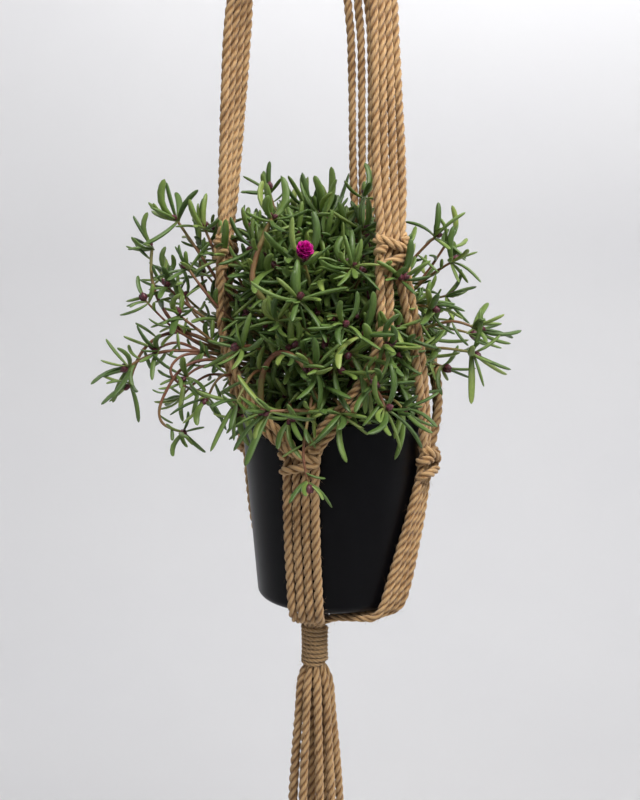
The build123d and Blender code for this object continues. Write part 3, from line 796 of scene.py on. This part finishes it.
def leaves_mesh(name, leaf_rings, tones):
    """All the leaves of a region in one mesh, with each leaf's tone and each point's place on it."""
    rings = np.array(leaf_rings)
    leaves, count, around, _ = rings.shape
    i = np.arange(count - 1)[:, None] * around
    j = np.arange(around)[None, :]
    k = (j + 1) % around
    quads = np.stack([i + j, i + k, i + around + k, i + around + j], axis=-1).reshape(-1, 4)
    faces = (quads[None] + np.arange(leaves)[:, None, None] * count * around).reshape(-1, 4)
    mesh = bpy.data.meshes.new(name)
    mesh.from_pydata(rings.reshape(-1, 3).tolist(), [], faces.tolist())
    mesh.polygons.foreach_set("use_smooth", np.ones(len(faces), bool))
    tone = mesh.attributes.new("tone", "FLOAT", "POINT")
    tone.data.foreach_set("value", np.repeat(tones, count * around).astype(np.float32))
    reach = mesh.attributes.new("reach", "FLOAT", "POINT")
    reach.data.foreach_set("value", np.tile(np.repeat(LEAF_STATIONS, around), leaves).astype(np.float32))
    edge = mesh.attributes.new("edge", "FLOAT", "POINT")
    across = np.abs(np.cos(np.linspace(0, 2 * math.pi, around, endpoint=False)))
    edge.data.foreach_set("value", np.tile(across, leaves * count).astype(np.float32))
    mesh.update()
    return mesh


def spot(x, y, height):
    """A place in millimetres from the hook's axis and above the rim, in metres."""
    return np.array([x * MM, y * MM, RIM_Z + height * MM])


# Sprigs, by region: a stem's points as (x, y, height above the rim) in millimetres, its
# radius, the way its rosette faces, the rosette's leaves and their length in millimetres.
SPRIGS = {
    "upper_left": [
        ([(-40, 6, 50), (-64, -5, 75), (-80, -8, 100), (-98, -10, 127)], 1.1, (-0.5, -0.3, 0.6), 8, 26),
        ([(-50, 0, 22), (-70, 0, 40), (-90, -8, 48), (-106, -16, 66), (-116, -16, 90), (-114, -12, 109)],
         1.2, (-0.6, -0.3, 0.5), 7, 25),
        ([(-62, -6, 40), (-81, -10, 46), (-94, -20, 53), (-105, -24, 62), (-116, -28, 75)],
         0.8, (-0.8, -0.4, 0.4), 5, 17),
        ([(-48, 0, 52), (-70, 0, 55), (-88, -4, 62), (-95, 4, 77)], 1.0, (-0.3, -0.5, 0.7), 8, 22),
        ([(-46, -6, 44), (-70, -10, 56), (-92, -14, 72), (-104, -16, 84)], 1.0, (-0.5, -0.6, 0.5), 8, 24),
        ([(-46, -4, 60), (-64, -8, 84), (-74, -12, 108), (-80, -12, 122)], 1.0, (-0.1, -0.4, 0.9), 8, 24),
        ([(-48, -6, 38), (-70, -14, 44), (-86, -20, 58), (-96, -24, 66)], 1.0, (-0.3, -0.8, 0.4), 8, 23),
        ([(-44, 8, 52), (-69, 5, 61), (-86, 10, 85), (-86, 10, 110)], 1.0, (0.1, -0.3, 0.9), 7, 22),
        ([(-40, 14, 60), (-58, 20, 84), (-68, 16, 104), (-74, 12, 120)], 0.9, (-0.3, 0.1, 0.9), 6, 20),
        ([(-46, 18, 40), (-72, 24, 56), (-96, 20, 74), (-108, 12, 92)], 0.9, (-0.7, 0.3, 0.4), 7, 22),
        ([(-42, 26, 50), (-66, 34, 70), (-84, 30, 92)], 0.9, (-0.5, 0.5, 0.6), 7, 22),
        ([(-44, -10, 48), (-66, -16, 64), (-82, -20, 84), (-90, -20, 96)], 1.0, (-0.4, -0.6, 0.6), 7, 22),
    ],
    "lower_left": [
        ([(-46, -2, 34), (-68, -6, 42), (-93, -14, 56), (-112, -20, 52), (-124, -25, 38), (-128, -28, 22)],
         1.2, (-0.7, -0.2, -0.4), 6, 22),
        ([(-48, -4, 28), (-70, -5, 32), (-90, -15, 46), (-102, -20, 49), (-110, -24, 44)],
         1.0, (-0.8, -0.4, 0.1), 7, 20),
        ([(-46, -8, 20), (-68, -10, 36), (-92, -22, 43), (-104, -28, 31), (-94, -30, 20), (-83, -31, 18)],
         0.9, (0.6, -0.6, -0.2), 6, 17),
        ([(-46, -10, 30), (-68, -16, 38), (-92, -30, 36), (-104, -36, 18), (-109, -38, 3), (-103, -38, -6),
          (-92, -37, -8)], 1.0, (0.5, -0.7, -0.2), 8, 18),
        ([(-48, -14, 20), (-62, -30, 30), (-72, -40, 26), (-76, -44, 14)], 0.9, (-0.2, -0.6, -0.6), 7, 20),
        ([(-46, -6, 34), (-70, -12, 40), (-98, -22, 44), (-118, -26, 40), (-128, -28, 33)],
         1.1, (-1.0, -0.1, 0.0), 8, 23),
        ([(-46, -4, 26), (-66, -12, 32), (-84, -22, 34), (-92, -26, 26)], 1.0, (-0.5, -0.7, -0.2), 8, 22),
        ([(-50, 6, 18), (-72, 10, 26), (-88, 6, 22), (-98, 0, 10)], 0.9, (-0.7, 0.1, -0.5), 7, 19),
    ],
    "right": [
        ([(34, 0, 70), (48, -10, 91), (60, -16, 108), (69, -20, 116)], 1.0, (0.4, -0.4, 0.7), 7, 22),
        ([(38, 4, 62), (56, 0, 81), (70, -12, 94), (80, -20, 100)], 1.0, (0.7, -0.4, 0.4), 8, 20),
        ([(36, -12, 58), (47, -24, 68), (56, -40, 74), (64, -50, 72)], 1.0, (0.5, -0.8, 0.0), 8, 22),
        ([(40, -8, 50), (54, -14, 54), (72, -24, 61), (84, -30, 63), (94, -32, 58)],
         1.0, (0.8, -0.3, 0.0), 7, 26),
        ([(40, -10, 38), (52, -22, 42), (72, -34, 47), (92, -40, 43)], 1.0, (0.7, -0.5, -0.4), 8, 27),
        ([(42, 0, 60), (60, 0, 74), (78, -10, 78)], 0.9, (0.8, -0.2, 0.3), 7, 20),
        ([(40, 14, 60), (58, 22, 80), (72, 22, 98), (80, 16, 112)], 1.0, (0.5, 0.3, 0.7), 7, 22),
        ([(40, 18, 44), (62, 26, 52), (82, 22, 56), (96, 14, 52)], 1.0, (0.8, 0.2, 0.0), 7, 22),
        ([(40, 6, 30), (60, 10, 36), (78, 6, 30)], 0.9, (0.8, 0.0, -0.3), 6, 20),
    ],
    "front": [
        ([(-40, -48, -4), (-44, -52, 20), (-36, -58, 44), (-22, -64, 46), (-14, -70, 36)],
         1.7, (0.4, -0.8, -0.2), 5, 20),
        ([(-24, -44, 12), (-24, -58, 14), (-22, -70, 6)], 1.0, (-0.1, -0.8, -0.5), 8, 25),
        ([(4, -44, 14), (6, -60, 16), (8, -72, 8)], 1.0, (0.2, -0.8, -0.5), 8, 26),
        ([(30, -34, 14), (40, -50, 18), (46, -60, 10)], 1.0, (0.5, -0.8, -0.4), 8, 24),
        ([(-40, -30, 10), (-50, -46, 14), (-54, -54, 6)], 1.0, (-0.5, -0.7, -0.5), 7, 23),
        ([(-14, -40, 26), (-6, -60, 18), (-8, -74, 11), (-23, -82, 12), (-36, -87, 12)],
         1.2, (-0.6, -0.7, -0.1), 7, 29),
        ([(-8, -40, 34), (-9, -62, 22), (-12, -76, 8), (-15, -83, -8), (-15, -84, -20), (-12, -84, -32)],
         0.9, (0.1, -0.4, -0.9), 6, 17),
        ([(8, -38, 46), (16, -52, 38), (24, -66, 27), (31, -76, 22), (34, -82, 13)],
         1.2, (0.4, -0.8, -0.3), 8, 27),
        ([(10, -36, 40), (18, -52, 34), (22, -66, 28), (28, -78, 27)], 1.0, (0.1, -0.7, 0.6), 6, 23),
        ([(-36, -26, 30), (-44, -44, 34), (-51, -60, 26), (-56, -66, 15)], 1.0, (-0.3, -0.5, -0.8), 7, 26),
        ([(-18, -36, 42), (-18, -54, 50), (-8, -74, 36)], 1.1, (0.1, -0.9, 0.1), 8, 24),
        ([(-2, -36, 60), (4, -54, 74), (9, -73, 62)], 1.1, (0.1, -1.0, 0.2), 8, 24),
        ([(-22, -34, 56), (-26, -52, 74), (-18, -71, 78)], 1.1, (-0.1, -0.9, 0.3), 9, 26),
        ([(26, -30, 60), (34, -44, 76), (45, -54, 90)], 1.0, (0.3, -0.7, 0.4), 8, 25),
        ([(20, -36, 48), (30, -52, 54), (36, -66, 50)], 1.0, (0.4, -0.8, 0.0), 7, 24),
        ([(-38, -30, 42), (-48, -48, 50), (-54, -60, 48)], 1.0, (-0.5, -0.7, 0.1), 8, 23),
    ],
    "rear": [
        ([(-22, 36, 50), (-28, 62, 64), (-24, 88, 52)], 1.2, (-0.1, 0.9, 0.1), 8, 25),
        ([(6, 38, 50), (14, 62, 62), (22, 86, 56)], 1.1, (0.3, 0.9, 0.0), 8, 25),
        ([(-8, 38, 34), (-10, 62, 30), (-6, 84, 14), (-6, 90, -6)], 1.0, (0.0, 0.5, -0.8), 7, 22),
        ([(-40, 28, 40), (-58, 50, 48), (-64, 72, 40)], 1.1, (-0.5, 0.8, 0.0), 8, 24),
        ([(30, 32, 50), (44, 54, 60), (48, 76, 52)], 1.1, (0.4, 0.8, 0.1), 8, 24),
        ([(-16, 30, 76), (-20, 50, 98), (-14, 66, 108)], 1.0, (0.0, 0.6, 0.7), 8, 24),
        ([(8, 34, 66), (2, 58, 84), (2, 80, 86)], 1.0, (0.1, 0.9, 0.4), 8, 24),
        ([(-34, 26, 60), (-46, 46, 78), (-44, 64, 84)], 1.0, (-0.3, 0.7, 0.5), 8, 24),
    ],
}
TOP_SPRIGS = [
    ([(-20, -34, 60), (-46, -46, 78), (-48, -44, 100), (-35, -38, 127)], 1.8, (0.2, -0.5, 0.9), 8, 26),
    ([(-16, 2, 80), (-26, 2, 112), (-36, 0, 136), (-38, 0, 146)], 1.0, (-0.3, -0.2, 0.9), 8, 22),
    ([(-4, -6, 84), (-12, -10, 111), (-6, -16, 124), (-3, -20, 130)], 1.1, (-0.1, -0.3, 1.0), 8, 31),
    ([(8, 6, 86), (14, 10, 108), (20, 8, 128), (24, 2, 143)], 1.6, (0.2, -0.2, 0.9), 7, 22),
    ([(8, -16, 80), (10, -38, 92), (15, -60, 97)], 1.2, (0.0, -0.9, 0.4), 9, 27),
    ([(10, -4, 84), (14, -12, 108), (23, -30, 121)], 1.2, (0.3, -0.6, 0.8), 8, 25),
    ([(-8, -36, 76), (-13, -50, 92), (-15, -58, 100)], 1.2, (-0.1, -0.5, 0.8), 7, 27),
    ([(-24, -14, 80), (-52, -18, 96), (-68, -10, 104)], 1.0, (-0.5, -0.3, 0.7), 8, 24),
    ([(0, 8, 90), (-6, 20, 118), (-14, 18, 136)], 1.0, (-0.1, 0.3, 1.0), 8, 25),
    ([(20, 12, 84), (32, 20, 100), (37, 18, 110)], 1.0, (0.4, 0.3, 0.8), 7, 22),
    ([(-24, 4, 84), (-40, 4, 104), (-52, -2, 120)], 1.0, (-0.4, -0.2, 0.9), 8, 24),
]
CROWN_FOOT, CROWN_TOP = 3.0, 128.0
CROWN_PROFILE = [(3, 44), (22, 58), (60, 66), (88, 60), (110, 44), (128, 14)]
CROWN_LEAN = (-14.0, 4.0)       # how far the crown's top is to the left and rear of its foot
CROWN_SHOOTS = 250
GOLDEN_ANGLE = 2.39996          # in radians; spreads the crown's shoots evenly round it
STEM_BOLDNESS = 1.2             # every listed stem radius is made this much larger


def sprig(green, points, radius, faces, leaves, length):
    """One stem with leaves along it and a rosette at its tip."""
    line = green.stem([spot(*p) for p in points], radius * STEM_BOLDNESS * MM)
    green.leaves_along(line, 0.0115, length * 0.85 * MM, bare=0.30)
    green.rosette(line[-1], faces, leaves, length * MM, buds=int(green.rng.integers(1, 4)))


def crown(green):
    """The dense middle of the plant: many short shoots that face outward all round."""
    rng = green.rng
    heights = np.array([h for h, _ in CROWN_PROFILE], float)
    reaches = np.array([r for _, r in CROWN_PROFILE], float)
    for number in range(CROWN_SHOOTS):
        share = (number + 0.5) / CROWN_SHOOTS
        height = CROWN_FOOT + (CROWN_TOP - CROWN_FOOT) * share**0.92
        angle = number * GOLDEN_ANGLE
        reach = float(np.interp(height, heights, reaches)) * rng.uniform(0.50, 1.04)
        out = np.array([math.sin(angle), -math.cos(angle), 0.0])
        steep = 0.1 + 1.3 * max(0.0, (height - 60) / 70)
        lean_x, lean_y = (whole * (height / CROWN_TOP) ** 1.5 for whole in CROWN_LEAN)
        tip = spot(POT_X / MM + lean_x, lean_y, height) + out * reach * MM
        foot = spot(POT_X / MM + lean_x, lean_y, height * 0.55 - 4) + out * reach * 0.25 * MM
        middle = (tip + foot) / 2 + np.array([0, 0, 0.010]) + rng.uniform(-0.006, 0.006, 3)
        line = green.stem([foot, middle, tip], rng.uniform(0.8, 1.5) * MM)
        green.leaves_along(line, 0.011, rng.uniform(0.018, 0.025), bare=0.35)
        faces = out + np.array([0, 0, steep]) + rng.uniform(-0.95, 0.95, 3)
        leaves, length, buds = int(rng.integers(4, 8)), rng.uniform(0.020, 0.031), int(rng.integers(0, 3))
        green.rosette(tip, faces, leaves, length, buds)


# The flower's rows of petals: how many, how far they lean out in radians, and their length.
PETAL_ROWS = [(4, 0.16, 0.0112), (5, 0.32, 0.0106), (5, 0.48, 0.0094)]
PETAL_HALF_WIDTH = 0.0050


def flower():
    """A half-open magenta bloom: three rows of cupped petals."""
    low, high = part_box("flower")
    centre = np.array((low + high) / 2) - np.array([0, 0, 0.003])
    rng = np.random.default_rng(21)
    face = unit((0.35, -0.7, 0.62))
    side = unit(np.cross(face, [0, 0, 1.0]))
    up = np.cross(side, face)
    meshes = []
    for row, (petals, spread, length) in enumerate(PETAL_ROWS):
        for k in range(petals):
            a = 2 * math.pi * (k + row * 0.5 + rng.uniform(-0.1, 0.1)) / petals
            out = side * math.cos(a) + up * math.sin(a)
            turned = np.cross(face, out)
            rings = []
            for s in np.linspace(0, 1, 7):
                lean = spread * (0.35 + s)
                place = centre - face * 0.004 + (face * math.cos(lean) + out * math.sin(lean)) * length * s
                wide = PETAL_HALF_WIDTH * math.sin(math.pi * min(0.93, 0.12 + 0.8 * s))
                wide *= 1 + 0.1 * rng.uniform(-1, 1)
                across = np.linspace(-1, 1, 7)
                cup = -out * 0.4 + face * 0.3
                front = place + turned * wide * across[:, None] + np.outer(across**2 * wide * 0.5, cup)
                ruffle = rng.uniform(-0.00025, 0.00025, (7, 1)) * s * face
                rings.append(np.concatenate([front + ruffle, (front + ruffle + face * -0.00025)[::-1]]))
            meshes.append(grid_mesh("petal", np.array(rings)))
    piece = joined("bloom", meshes)
    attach(piece, "hanger")
    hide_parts("flower")
    return piece


# ---------------------------------------------------------------- materials
class Paint:
    """A node material on one Principled shader; fixed values go on the shader's own sockets."""

    def __init__(self, name, fixed):
        self.material = bpy.data.materials.new(name)
        self.material.use_nodes = True
        self.tree = self.material.node_tree
        self.shader = self.tree.nodes["Principled BSDF"]
        for socket, value in fixed.items():
            self.shader.inputs[socket].default_value = value

    def node(self, kind, settings=(), inputs=()):
        made = self.tree.nodes.new(kind)
        for setting, value in dict(settings).items():
            setattr(made, setting, value)
        for socket, value in dict(inputs).items():
            if isinstance(value, bpy.types.NodeSocket):
                self.tree.links.new(value, made.inputs[socket])
            else:
                made.inputs[socket].default_value = value
        return made

    def place(self, source="Object"):
        """A texture coordinate output."""
        return self.node("ShaderNodeTexCoord").outputs[source]

    def attribute(self, name):
        """A point attribute of the mesh as a number."""
        return self.node("ShaderNodeAttribute", {"attribute_name": name}).outputs["Fac"]

    def noise(self, place, scale, detail=3.0, stretch=(1.0, 1.0, 1.0)):
        spread = self.node("ShaderNodeMapping", inputs={"Vector": place, "Scale": stretch})
        inputs = {"Vector": spread.outputs["Vector"], "Scale": scale, "Detail": detail}
        return self.node("ShaderNodeTexNoise", inputs=inputs).outputs["Fac"]

    def sum(self, terms):
        """The weighted sum of some values, given as (value, weight) pairs."""
        total = None
        for value, weight in terms:
            inputs = {0: value, 1: weight, 2: 0.0 if total is None else total}
            total = self.node("ShaderNodeMath", {"operation": "MULTIPLY_ADD"}, inputs).outputs[0]
        return total

    def ramp(self, value, stops):
        """Colours along a value, as (position, (red, green, blue)) stops."""
        made = self.node("ShaderNodeValToRGB", inputs={"Fac": value})
        for number, (position, colour) in enumerate(stops):
            elements = made.color_ramp.elements
            stop = elements[number] if number < 2 else elements.new(position)
            stop.position, stop.color = position, (*colour, 1.0)
        return made.outputs["Color"]

    def mix(self, share, first, second):
        """A colour between two others."""
        inputs = {"Factor": share, "A": first, "B": second}
        made = self.tree.nodes.new("ShaderNodeMix")
        made.data_type = "RGBA"
        sockets = {"Factor": made.inputs[0], "A": made.inputs[6], "B": made.inputs[7]}
        for name, value in inputs.items():
            if isinstance(value, bpy.types.NodeSocket):
                self.tree.links.new(value, sockets[name])
            else:
                sockets[name].default_value = value
        return made.outputs[2]

    def colour(self, value):
        self.tree.links.new(value, self.shader.inputs["Base Color"])

    def rough(self, value, low, high):
        spread = self.node("ShaderNodeMapRange", inputs={"Value": value, "To Min": low, "To Max": high})
        self.tree.links.new(spread.outputs[0], self.shader.inputs["Roughness"])

    def bump(self, height, distance, strength=1.0):
        inputs = {"Height": height, "Distance": distance, "Strength": strength}
        made = self.node("ShaderNodeBump", inputs=inputs)
        self.tree.links.new(made.outputs["Normal"], self.shader.inputs["Normal"])


def fibre_rope(name, stops, fibres, patch):
    """Jute: fibres along the rope, with painted shade between the plies, and paler and darker stretches."""
    paint = Paint(name, {"Roughness": 0.86, "Specular IOR Level": 0.22, "Sheen Weight": 0.25,
                         "Sheen Roughness": 0.5})
    uv, place = paint.place("UV"), paint.place()
    fibre = paint.noise(uv, 1.0, 4.0, fibres)
    coarse = paint.noise(uv, 1.0, 2.0, (fibres[0] * 0.6, fibres[1] * 0.22, 1.0))
    patches = paint.noise(place, patch, 2.0)
    crest = paint.attribute("crest")
    # crest is 0 in the grooves between the plies, so its weight here paints shade in the grooves
    tone = paint.sum([(crest, 0.36), (fibre, 0.66), (coarse, 0.30), (patches, 0.42)])
    paint.colour(paint.ramp(tone, stops))
    paint.bump(paint.sum([(fibre, 1.0), (coarse, 0.8)]), 0.0010, 1.0)
    return paint.material


def jute():
    # The lowest stops colour the painted shade between the plies as well as darker fibres.
    stops = [(0.44, (0.030, 0.014, 0.005)), (0.65, (0.175, 0.084, 0.029)), (0.87, (0.375, 0.205, 0.080)),
             (1.10, (0.600, 0.385, 0.185))]
    return fibre_rope("jute", stops, (150.0, 40.0, 1.0), 42.0)


def twine():
    # The lowest stops colour the painted shade between the plies as well as darker fibres.
    stops = [(0.36, (0.190, 0.104, 0.044)), (0.62, (0.400, 0.235, 0.105)), (1.00, (0.620, 0.410, 0.205))]
    return fibre_rope("twine", stops, (260.0, 22.0, 1.0), 60.0)


def loose_fibre():
    """The pale hairs that stand off the rope."""
    paint = Paint("loose_fibre", {"Roughness": 0.7, "Specular IOR Level": 0.3})
    patches = paint.noise(paint.place(), 260.0, 2.0)
    paint.colour(paint.ramp(patches, [(0.3, (0.30, 0.19, 0.09)), (0.7, (0.70, 0.52, 0.32))]))
    return paint.material


def leaf_green():
    """Waxy leaves: each has its tone, with a paler base and edge, and fine mottling."""
    paint = Paint("leaf", {"Specular IOR Level": 0.45, "Subsurface Weight": 0.12,
                           "Subsurface Radius": (0.0012, 0.002, 0.0006), "Subsurface Scale": 1.0})
    place = paint.place()
    mottle = paint.noise(place, 420.0, 4.0)
    drift = paint.noise(place, 36.0, 2.0)
    tone, reach, edge = paint.attribute("tone"), paint.attribute("reach"), paint.attribute("edge")
    body = paint.ramp(
        paint.sum([(tone, 0.62), (drift, 0.45), (mottle, 0.22)]),
        [(0.18, (0.034, 0.070, 0.015)), (0.50, (0.082, 0.146, 0.030)), (0.80, (0.155, 0.235, 0.050)),
         (1.0, (0.26, 0.33, 0.080))],
    )
    pale_base = paint.ramp(reach, [(0.0, (1.0, 1.0, 1.0)), (0.22, (0.0, 0.0, 0.0))])
    based = paint.mix(pale_base, body, (0.20, 0.22, 0.07, 1.0))
    pale_edge = paint.ramp(edge, [(0.80, (0.0, 0.0, 0.0)), (1.0, (0.42, 0.42, 0.42))])
    paint.colour(paint.mix(pale_edge, based, (0.17, 0.27, 0.12, 1.0)))
    paint.rough(mottle, 0.34, 0.56)
    paint.bump(mottle, 0.0003, 0.5)
    return paint.material


def stem_skin():
    """Succulent stems that run from brown-red to olive."""
    paint = Paint("stem", {"Roughness": 0.5, "Specular IOR Level": 0.4})
    place = paint.place()
    shift, grain = paint.noise(place, 22.0, 2.0), paint.noise(place, 500.0, 4.0)
    tone = paint.sum([(shift, 1.1), (grain, 0.25)])
    stops = [(0.40, (0.115, 0.038, 0.026)), (0.58, (0.20, 0.085, 0.045)), (0.72, (0.20, 0.14, 0.05)),
             (0.86, (0.19, 0.20, 0.06))]
    paint.colour(paint.ramp(tone, stops))
    paint.bump(grain, 0.0004, 0.6)
    return paint.material


def bud_skin():
    """Purple-brown buds."""
    paint = Paint("bud", {"Roughness": 0.42, "Specular IOR Level": 0.5})
    mottle = paint.noise(paint.place(), 700.0, 3.0)
    paint.colour(paint.ramp(mottle, [(0.32, (0.035, 0.010, 0.016)), (0.62, (0.14, 0.030, 0.045)),
                                     (0.85, (0.27, 0.11, 0.09))]))
    paint.bump(mottle, 0.0004, 0.6)
    return paint.material


def petal():
    """Magenta petals with finer, darker veins."""
    paint = Paint("petal", {"Roughness": 0.52, "Specular IOR Level": 0.25, "Subsurface Weight": 0.15,
                            "Subsurface Radius": (0.001, 0.0004, 0.0008), "Subsurface Scale": 1.0})
    veins = paint.noise(paint.place(), 600.0, 4.0)
    paint.colour(paint.ramp(veins, [(0.30, (0.20, 0.000, 0.085)), (0.60, (0.56, 0.002, 0.25)),
                                    (0.90, (0.72, 0.04, 0.38))]))
    paint.bump(veins, 0.0003, 0.5)
    return paint.material


def black_plastic():
    """Moulded black plastic: a soft gloss with fine dust and faint scuffs."""
    paint = Paint("pot_plastic", {"Specular IOR Level": 0.16, "IOR": 1.45})
    place = paint.place()
    dust, flow = paint.noise(place, 900.0, 5.0), paint.noise(place, 9.0, 2.0, (1.0, 1.0, 0.35))
    scuff = paint.noise(place, 60.0, 6.0, (1.0, 1.0, 0.12))
    stops = [(0.45, (0.0022, 0.0022, 0.0030)), (0.75, (0.0040, 0.0040, 0.0056)),
             (0.95, (0.014, 0.014, 0.016))]
    paint.colour(paint.ramp(paint.sum([(dust, 0.45), (scuff, 0.55)]), stops))
    paint.rough(paint.sum([(flow, 0.5), (scuff, 0.5)]), 0.22, 0.44)
    paint.bump(paint.sum([(dust, 0.25), (flow, 1.0)]), 0.0006, 0.25)
    return paint.material


def steel():
    """Satin round wire."""
    paint = Paint("steel", {"Metallic": 1.0})
    grain = paint.noise(paint.place(), 1400.0, 3.0, (1.0, 0.2, 1.0))
    paint.colour(paint.ramp(grain, [(0.3, (0.44, 0.44, 0.45)), (0.8, (0.62, 0.62, 0.63))]))
    paint.rough(grain, 0.24, 0.40)
    paint.bump(grain, 0.0001, 0.4)
    return paint.material


def beech():
    """Oiled beech, its grain round the ring."""
    paint = Paint("beech", {"Specular IOR Level": 0.4})
    place = paint.place()
    turn = paint.node("ShaderNodeTexGradient", {"gradient_type": "RADIAL"}, {"Vector": place}).outputs["Fac"]
    apart = paint.node("ShaderNodeSeparateXYZ", inputs={"Vector": place})
    reach = paint.node("ShaderNodeVectorMath", {"operation": "LENGTH"}, {0: place}).outputs["Value"]
    rolled = paint.node("ShaderNodeCombineXYZ", inputs={"X": turn, "Y": reach, "Z": apart.outputs["Z"]})
    grain = paint.noise(rolled.outputs[0], 1.0, 4.0, (14.0, 900.0, 900.0))
    fleck = paint.noise(rolled.outputs[0], 1.0, 3.0, (60.0, 1900.0, 1900.0))
    stops = [(0.36, (0.30, 0.165, 0.075)), (0.62, (0.46, 0.28, 0.14)), (0.85, (0.55, 0.36, 0.20))]
    paint.colour(paint.ramp(paint.sum([(grain, 0.75), (fleck, 0.3)]), stops))
    paint.rough(fleck, 0.36, 0.52)
    paint.bump(grain, 0.0002, 0.5)
    return paint.material


def peat():
    """Dark crumbs of peat and bark."""
    paint = Paint("peat", {"Roughness": 0.95, "Specular IOR Level": 0.15})
    place = paint.place()
    crumbs, lumps = paint.noise(place, 520.0, 6.0), paint.noise(place, 150.0, 4.0)
    paint.colour(paint.ramp(paint.sum([(crumbs, 0.6), (lumps, 0.5)]),
                            [(0.35, (0.010, 0.007, 0.005)), (0.6, (0.035, 0.022, 0.014)),
                             (0.85, (0.13, 0.085, 0.05))]))
    paint.bump(paint.sum([(crumbs, 0.5), (lumps, 1.0)]), 0.003, 1.0)
    return paint.material


def dress(pieces, material):
    """Gives pieces one material."""
    for piece in pieces:
        piece.data.materials.clear()
        piece.data.materials.append(material)


# ---------------------------------------------------------------- studio
BOWL_R, BOWL_BEND, BOWL_H, BOWL_AROUND = 2.6, 0.9, 4.5, 96
FLOOR_DROP = 0.75               # how far the floor is below the pot's rim


def backdrop():
    """A pale round floor that curves up into a wall all round."""
    floor_z = RIM_Z - FLOOR_DROP
    profile = [(0.02, floor_z), (BOWL_R - BOWL_BEND, floor_z)]
    profile += [(BOWL_R - BOWL_BEND * (1 - math.sin(a)), floor_z + BOWL_BEND * (1 - math.cos(a)))
                for a in np.linspace(0.1, math.pi / 2, 14)]
    profile.append((BOWL_R, floor_z + BOWL_H))
    angles = np.linspace(0, 2 * math.pi, BOWL_AROUND, endpoint=False)
    rings = [np.stack([r * np.cos(angles), r * np.sin(angles), 0 * angles + z], axis=1) for r, z in profile]
    sweep = linked("backdrop", grid_mesh("backdrop", np.array(rings)[:, ::-1], capped=False))
    paint = Paint("backdrop_paper", {"Roughness": 0.95, "Specular IOR Level": 0.1})
    grain = paint.noise(paint.place(), 3.0, 2.0)
    paint.colour(paint.ramp(grain, [(0.2, (0.790, 0.790, 0.805)), (0.8, (0.810, 0.810, 0.820))]))
    sweep.data.materials.append(paint.material)


def area_light(name, place, aim, size, power, colour):
    """A rectangular soft light that faces a point."""
    data = bpy.data.lights.new(name, "AREA")
    data.shape, data.size, data.size_y = "RECTANGLE", *size
    data.energy, data.color = power, colour
    lamp = bpy.data.objects.new(name, data)
    bpy.context.scene.collection.objects.link(lamp)
    lamp.location = place
    lamp.rotation_euler = (Vector(aim) - Vector(place)).to_track_quat("-Z", "Y").to_euler()


def studio():
    """Plain soft light: a large key from the right and front, a weak fill and a lit wall."""
    world = bpy.data.worlds.new("studio")
    world.use_nodes = True
    sky = world.node_tree.nodes["Background"]
    sky.inputs["Color"].default_value = (0.93, 0.95, 1.0, 1.0)
    sky.inputs["Strength"].default_value = 0.16
    bpy.context.scene.world = world
    bpy.context.scene.view_settings.view_transform = "Standard"
    aim = (0, 0, RIM_Z + 0.02)
    area_light("key", (0.40, -0.60, RIM_Z + 0.92), aim, (0.6, 0.6), 17.5, (1.0, 0.97, 0.93))
    area_light("fill", (-1.5, -0.9, RIM_Z + 0.5), aim, (0.8, 1.2), 1.4, (0.93, 0.96, 1.0))
    area_light("rear", (-0.9, 1.3, RIM_Z + 1.1), aim, (1.0, 0.8), 4, (0.97, 0.98, 1.0))
    wall_aim = (0.6, BOWL_R, RIM_Z + 1.25)
    area_light("wall", (0.7, 1.4, RIM_Z + 1.9), wall_aim, (2.4, 0.5), 36, (1.0, 1.0, 1.0))


# ---------------------------------------------------------------- the planter
ropes = []
plant = {"leaves": [], "stems": [], "buds": []}

photo_camera()
strand_lines = hanger_strands()
tassel_lines = tassel_strands()
bridle_lines = bridle_cords()
knots()
larks_heads()
bridle_hitches()
hanging_eye()
gathered_core()
tassel_core()
gathering, gathering_line = wrap_twine(
    "gathering_twine", GATHER, WRAP_HIGH.z, WRAP_LOW.z + TWINE_D / 2,
    GATHERING_R, "gathering_wrap", WRAP_WAIST)
top_twine, top_line = wrap_twine(
    "top_twine", (0, 0), TOP_WRAP_HIGH.z, TOP_WRAP_LOW.z, TOP_TWINE_R, "top_wrap")

HAIRS_PER_METRE, TWINE_HAIRS_PER_METRE, TWINE_HAIR = 900, 300, 0.005
hair = fuzz_mesh("rope_hair", strand_lines + bridle_lines, ROPE_R, HAIRS_PER_METRE,
                 np.random.default_rng(11))
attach(hair, "hanger")
wrap_hair = fuzz_mesh("wrap_hair", [gathering_line, top_line], TWINE_D / 2, TWINE_HAIRS_PER_METRE,
                      np.random.default_rng(12), TWINE_HAIR)
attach(wrap_hair, "hanger")
tassel_hair = fuzz_mesh("tassel_hair", tassel_lines, ROPE_R, HAIRS_PER_METRE, np.random.default_rng(13))
bend_at_wrap(tassel_hair)

dress(ropes, jute())
dress([gathering, top_twine], twine())
dress([hair, wrap_hair, tassel_hair], loose_fibre())
dress([soil()], peat())
dress([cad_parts["pot"]], black_plastic())
dress([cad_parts["spreader_ring"]], beech())
dress([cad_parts["hanging_ring"]], steel())

for number, (region, sprigs) in enumerate(SPRIGS.items()):
    green = Greenery(100 + number)
    for points, radius, faces, leaves, length in sprigs:
        sprig(green, points, radius, faces, leaves, length)
    green.pieces(region, f"foliage_{region}")
middle = Greenery(200)
for points, radius, faces, leaves, length in TOP_SPRIGS:
    sprig(middle, points, radius, faces, leaves, length)
crown(middle)
middle.pieces("crown", "foliage_crown")
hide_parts("main_stems")
dress(plant["leaves"], leaf_green())
dress(plant["stems"], stem_skin())
dress(plant["buds"], bud_skin())
dress([flower()], petal())

backdrop()
studio()
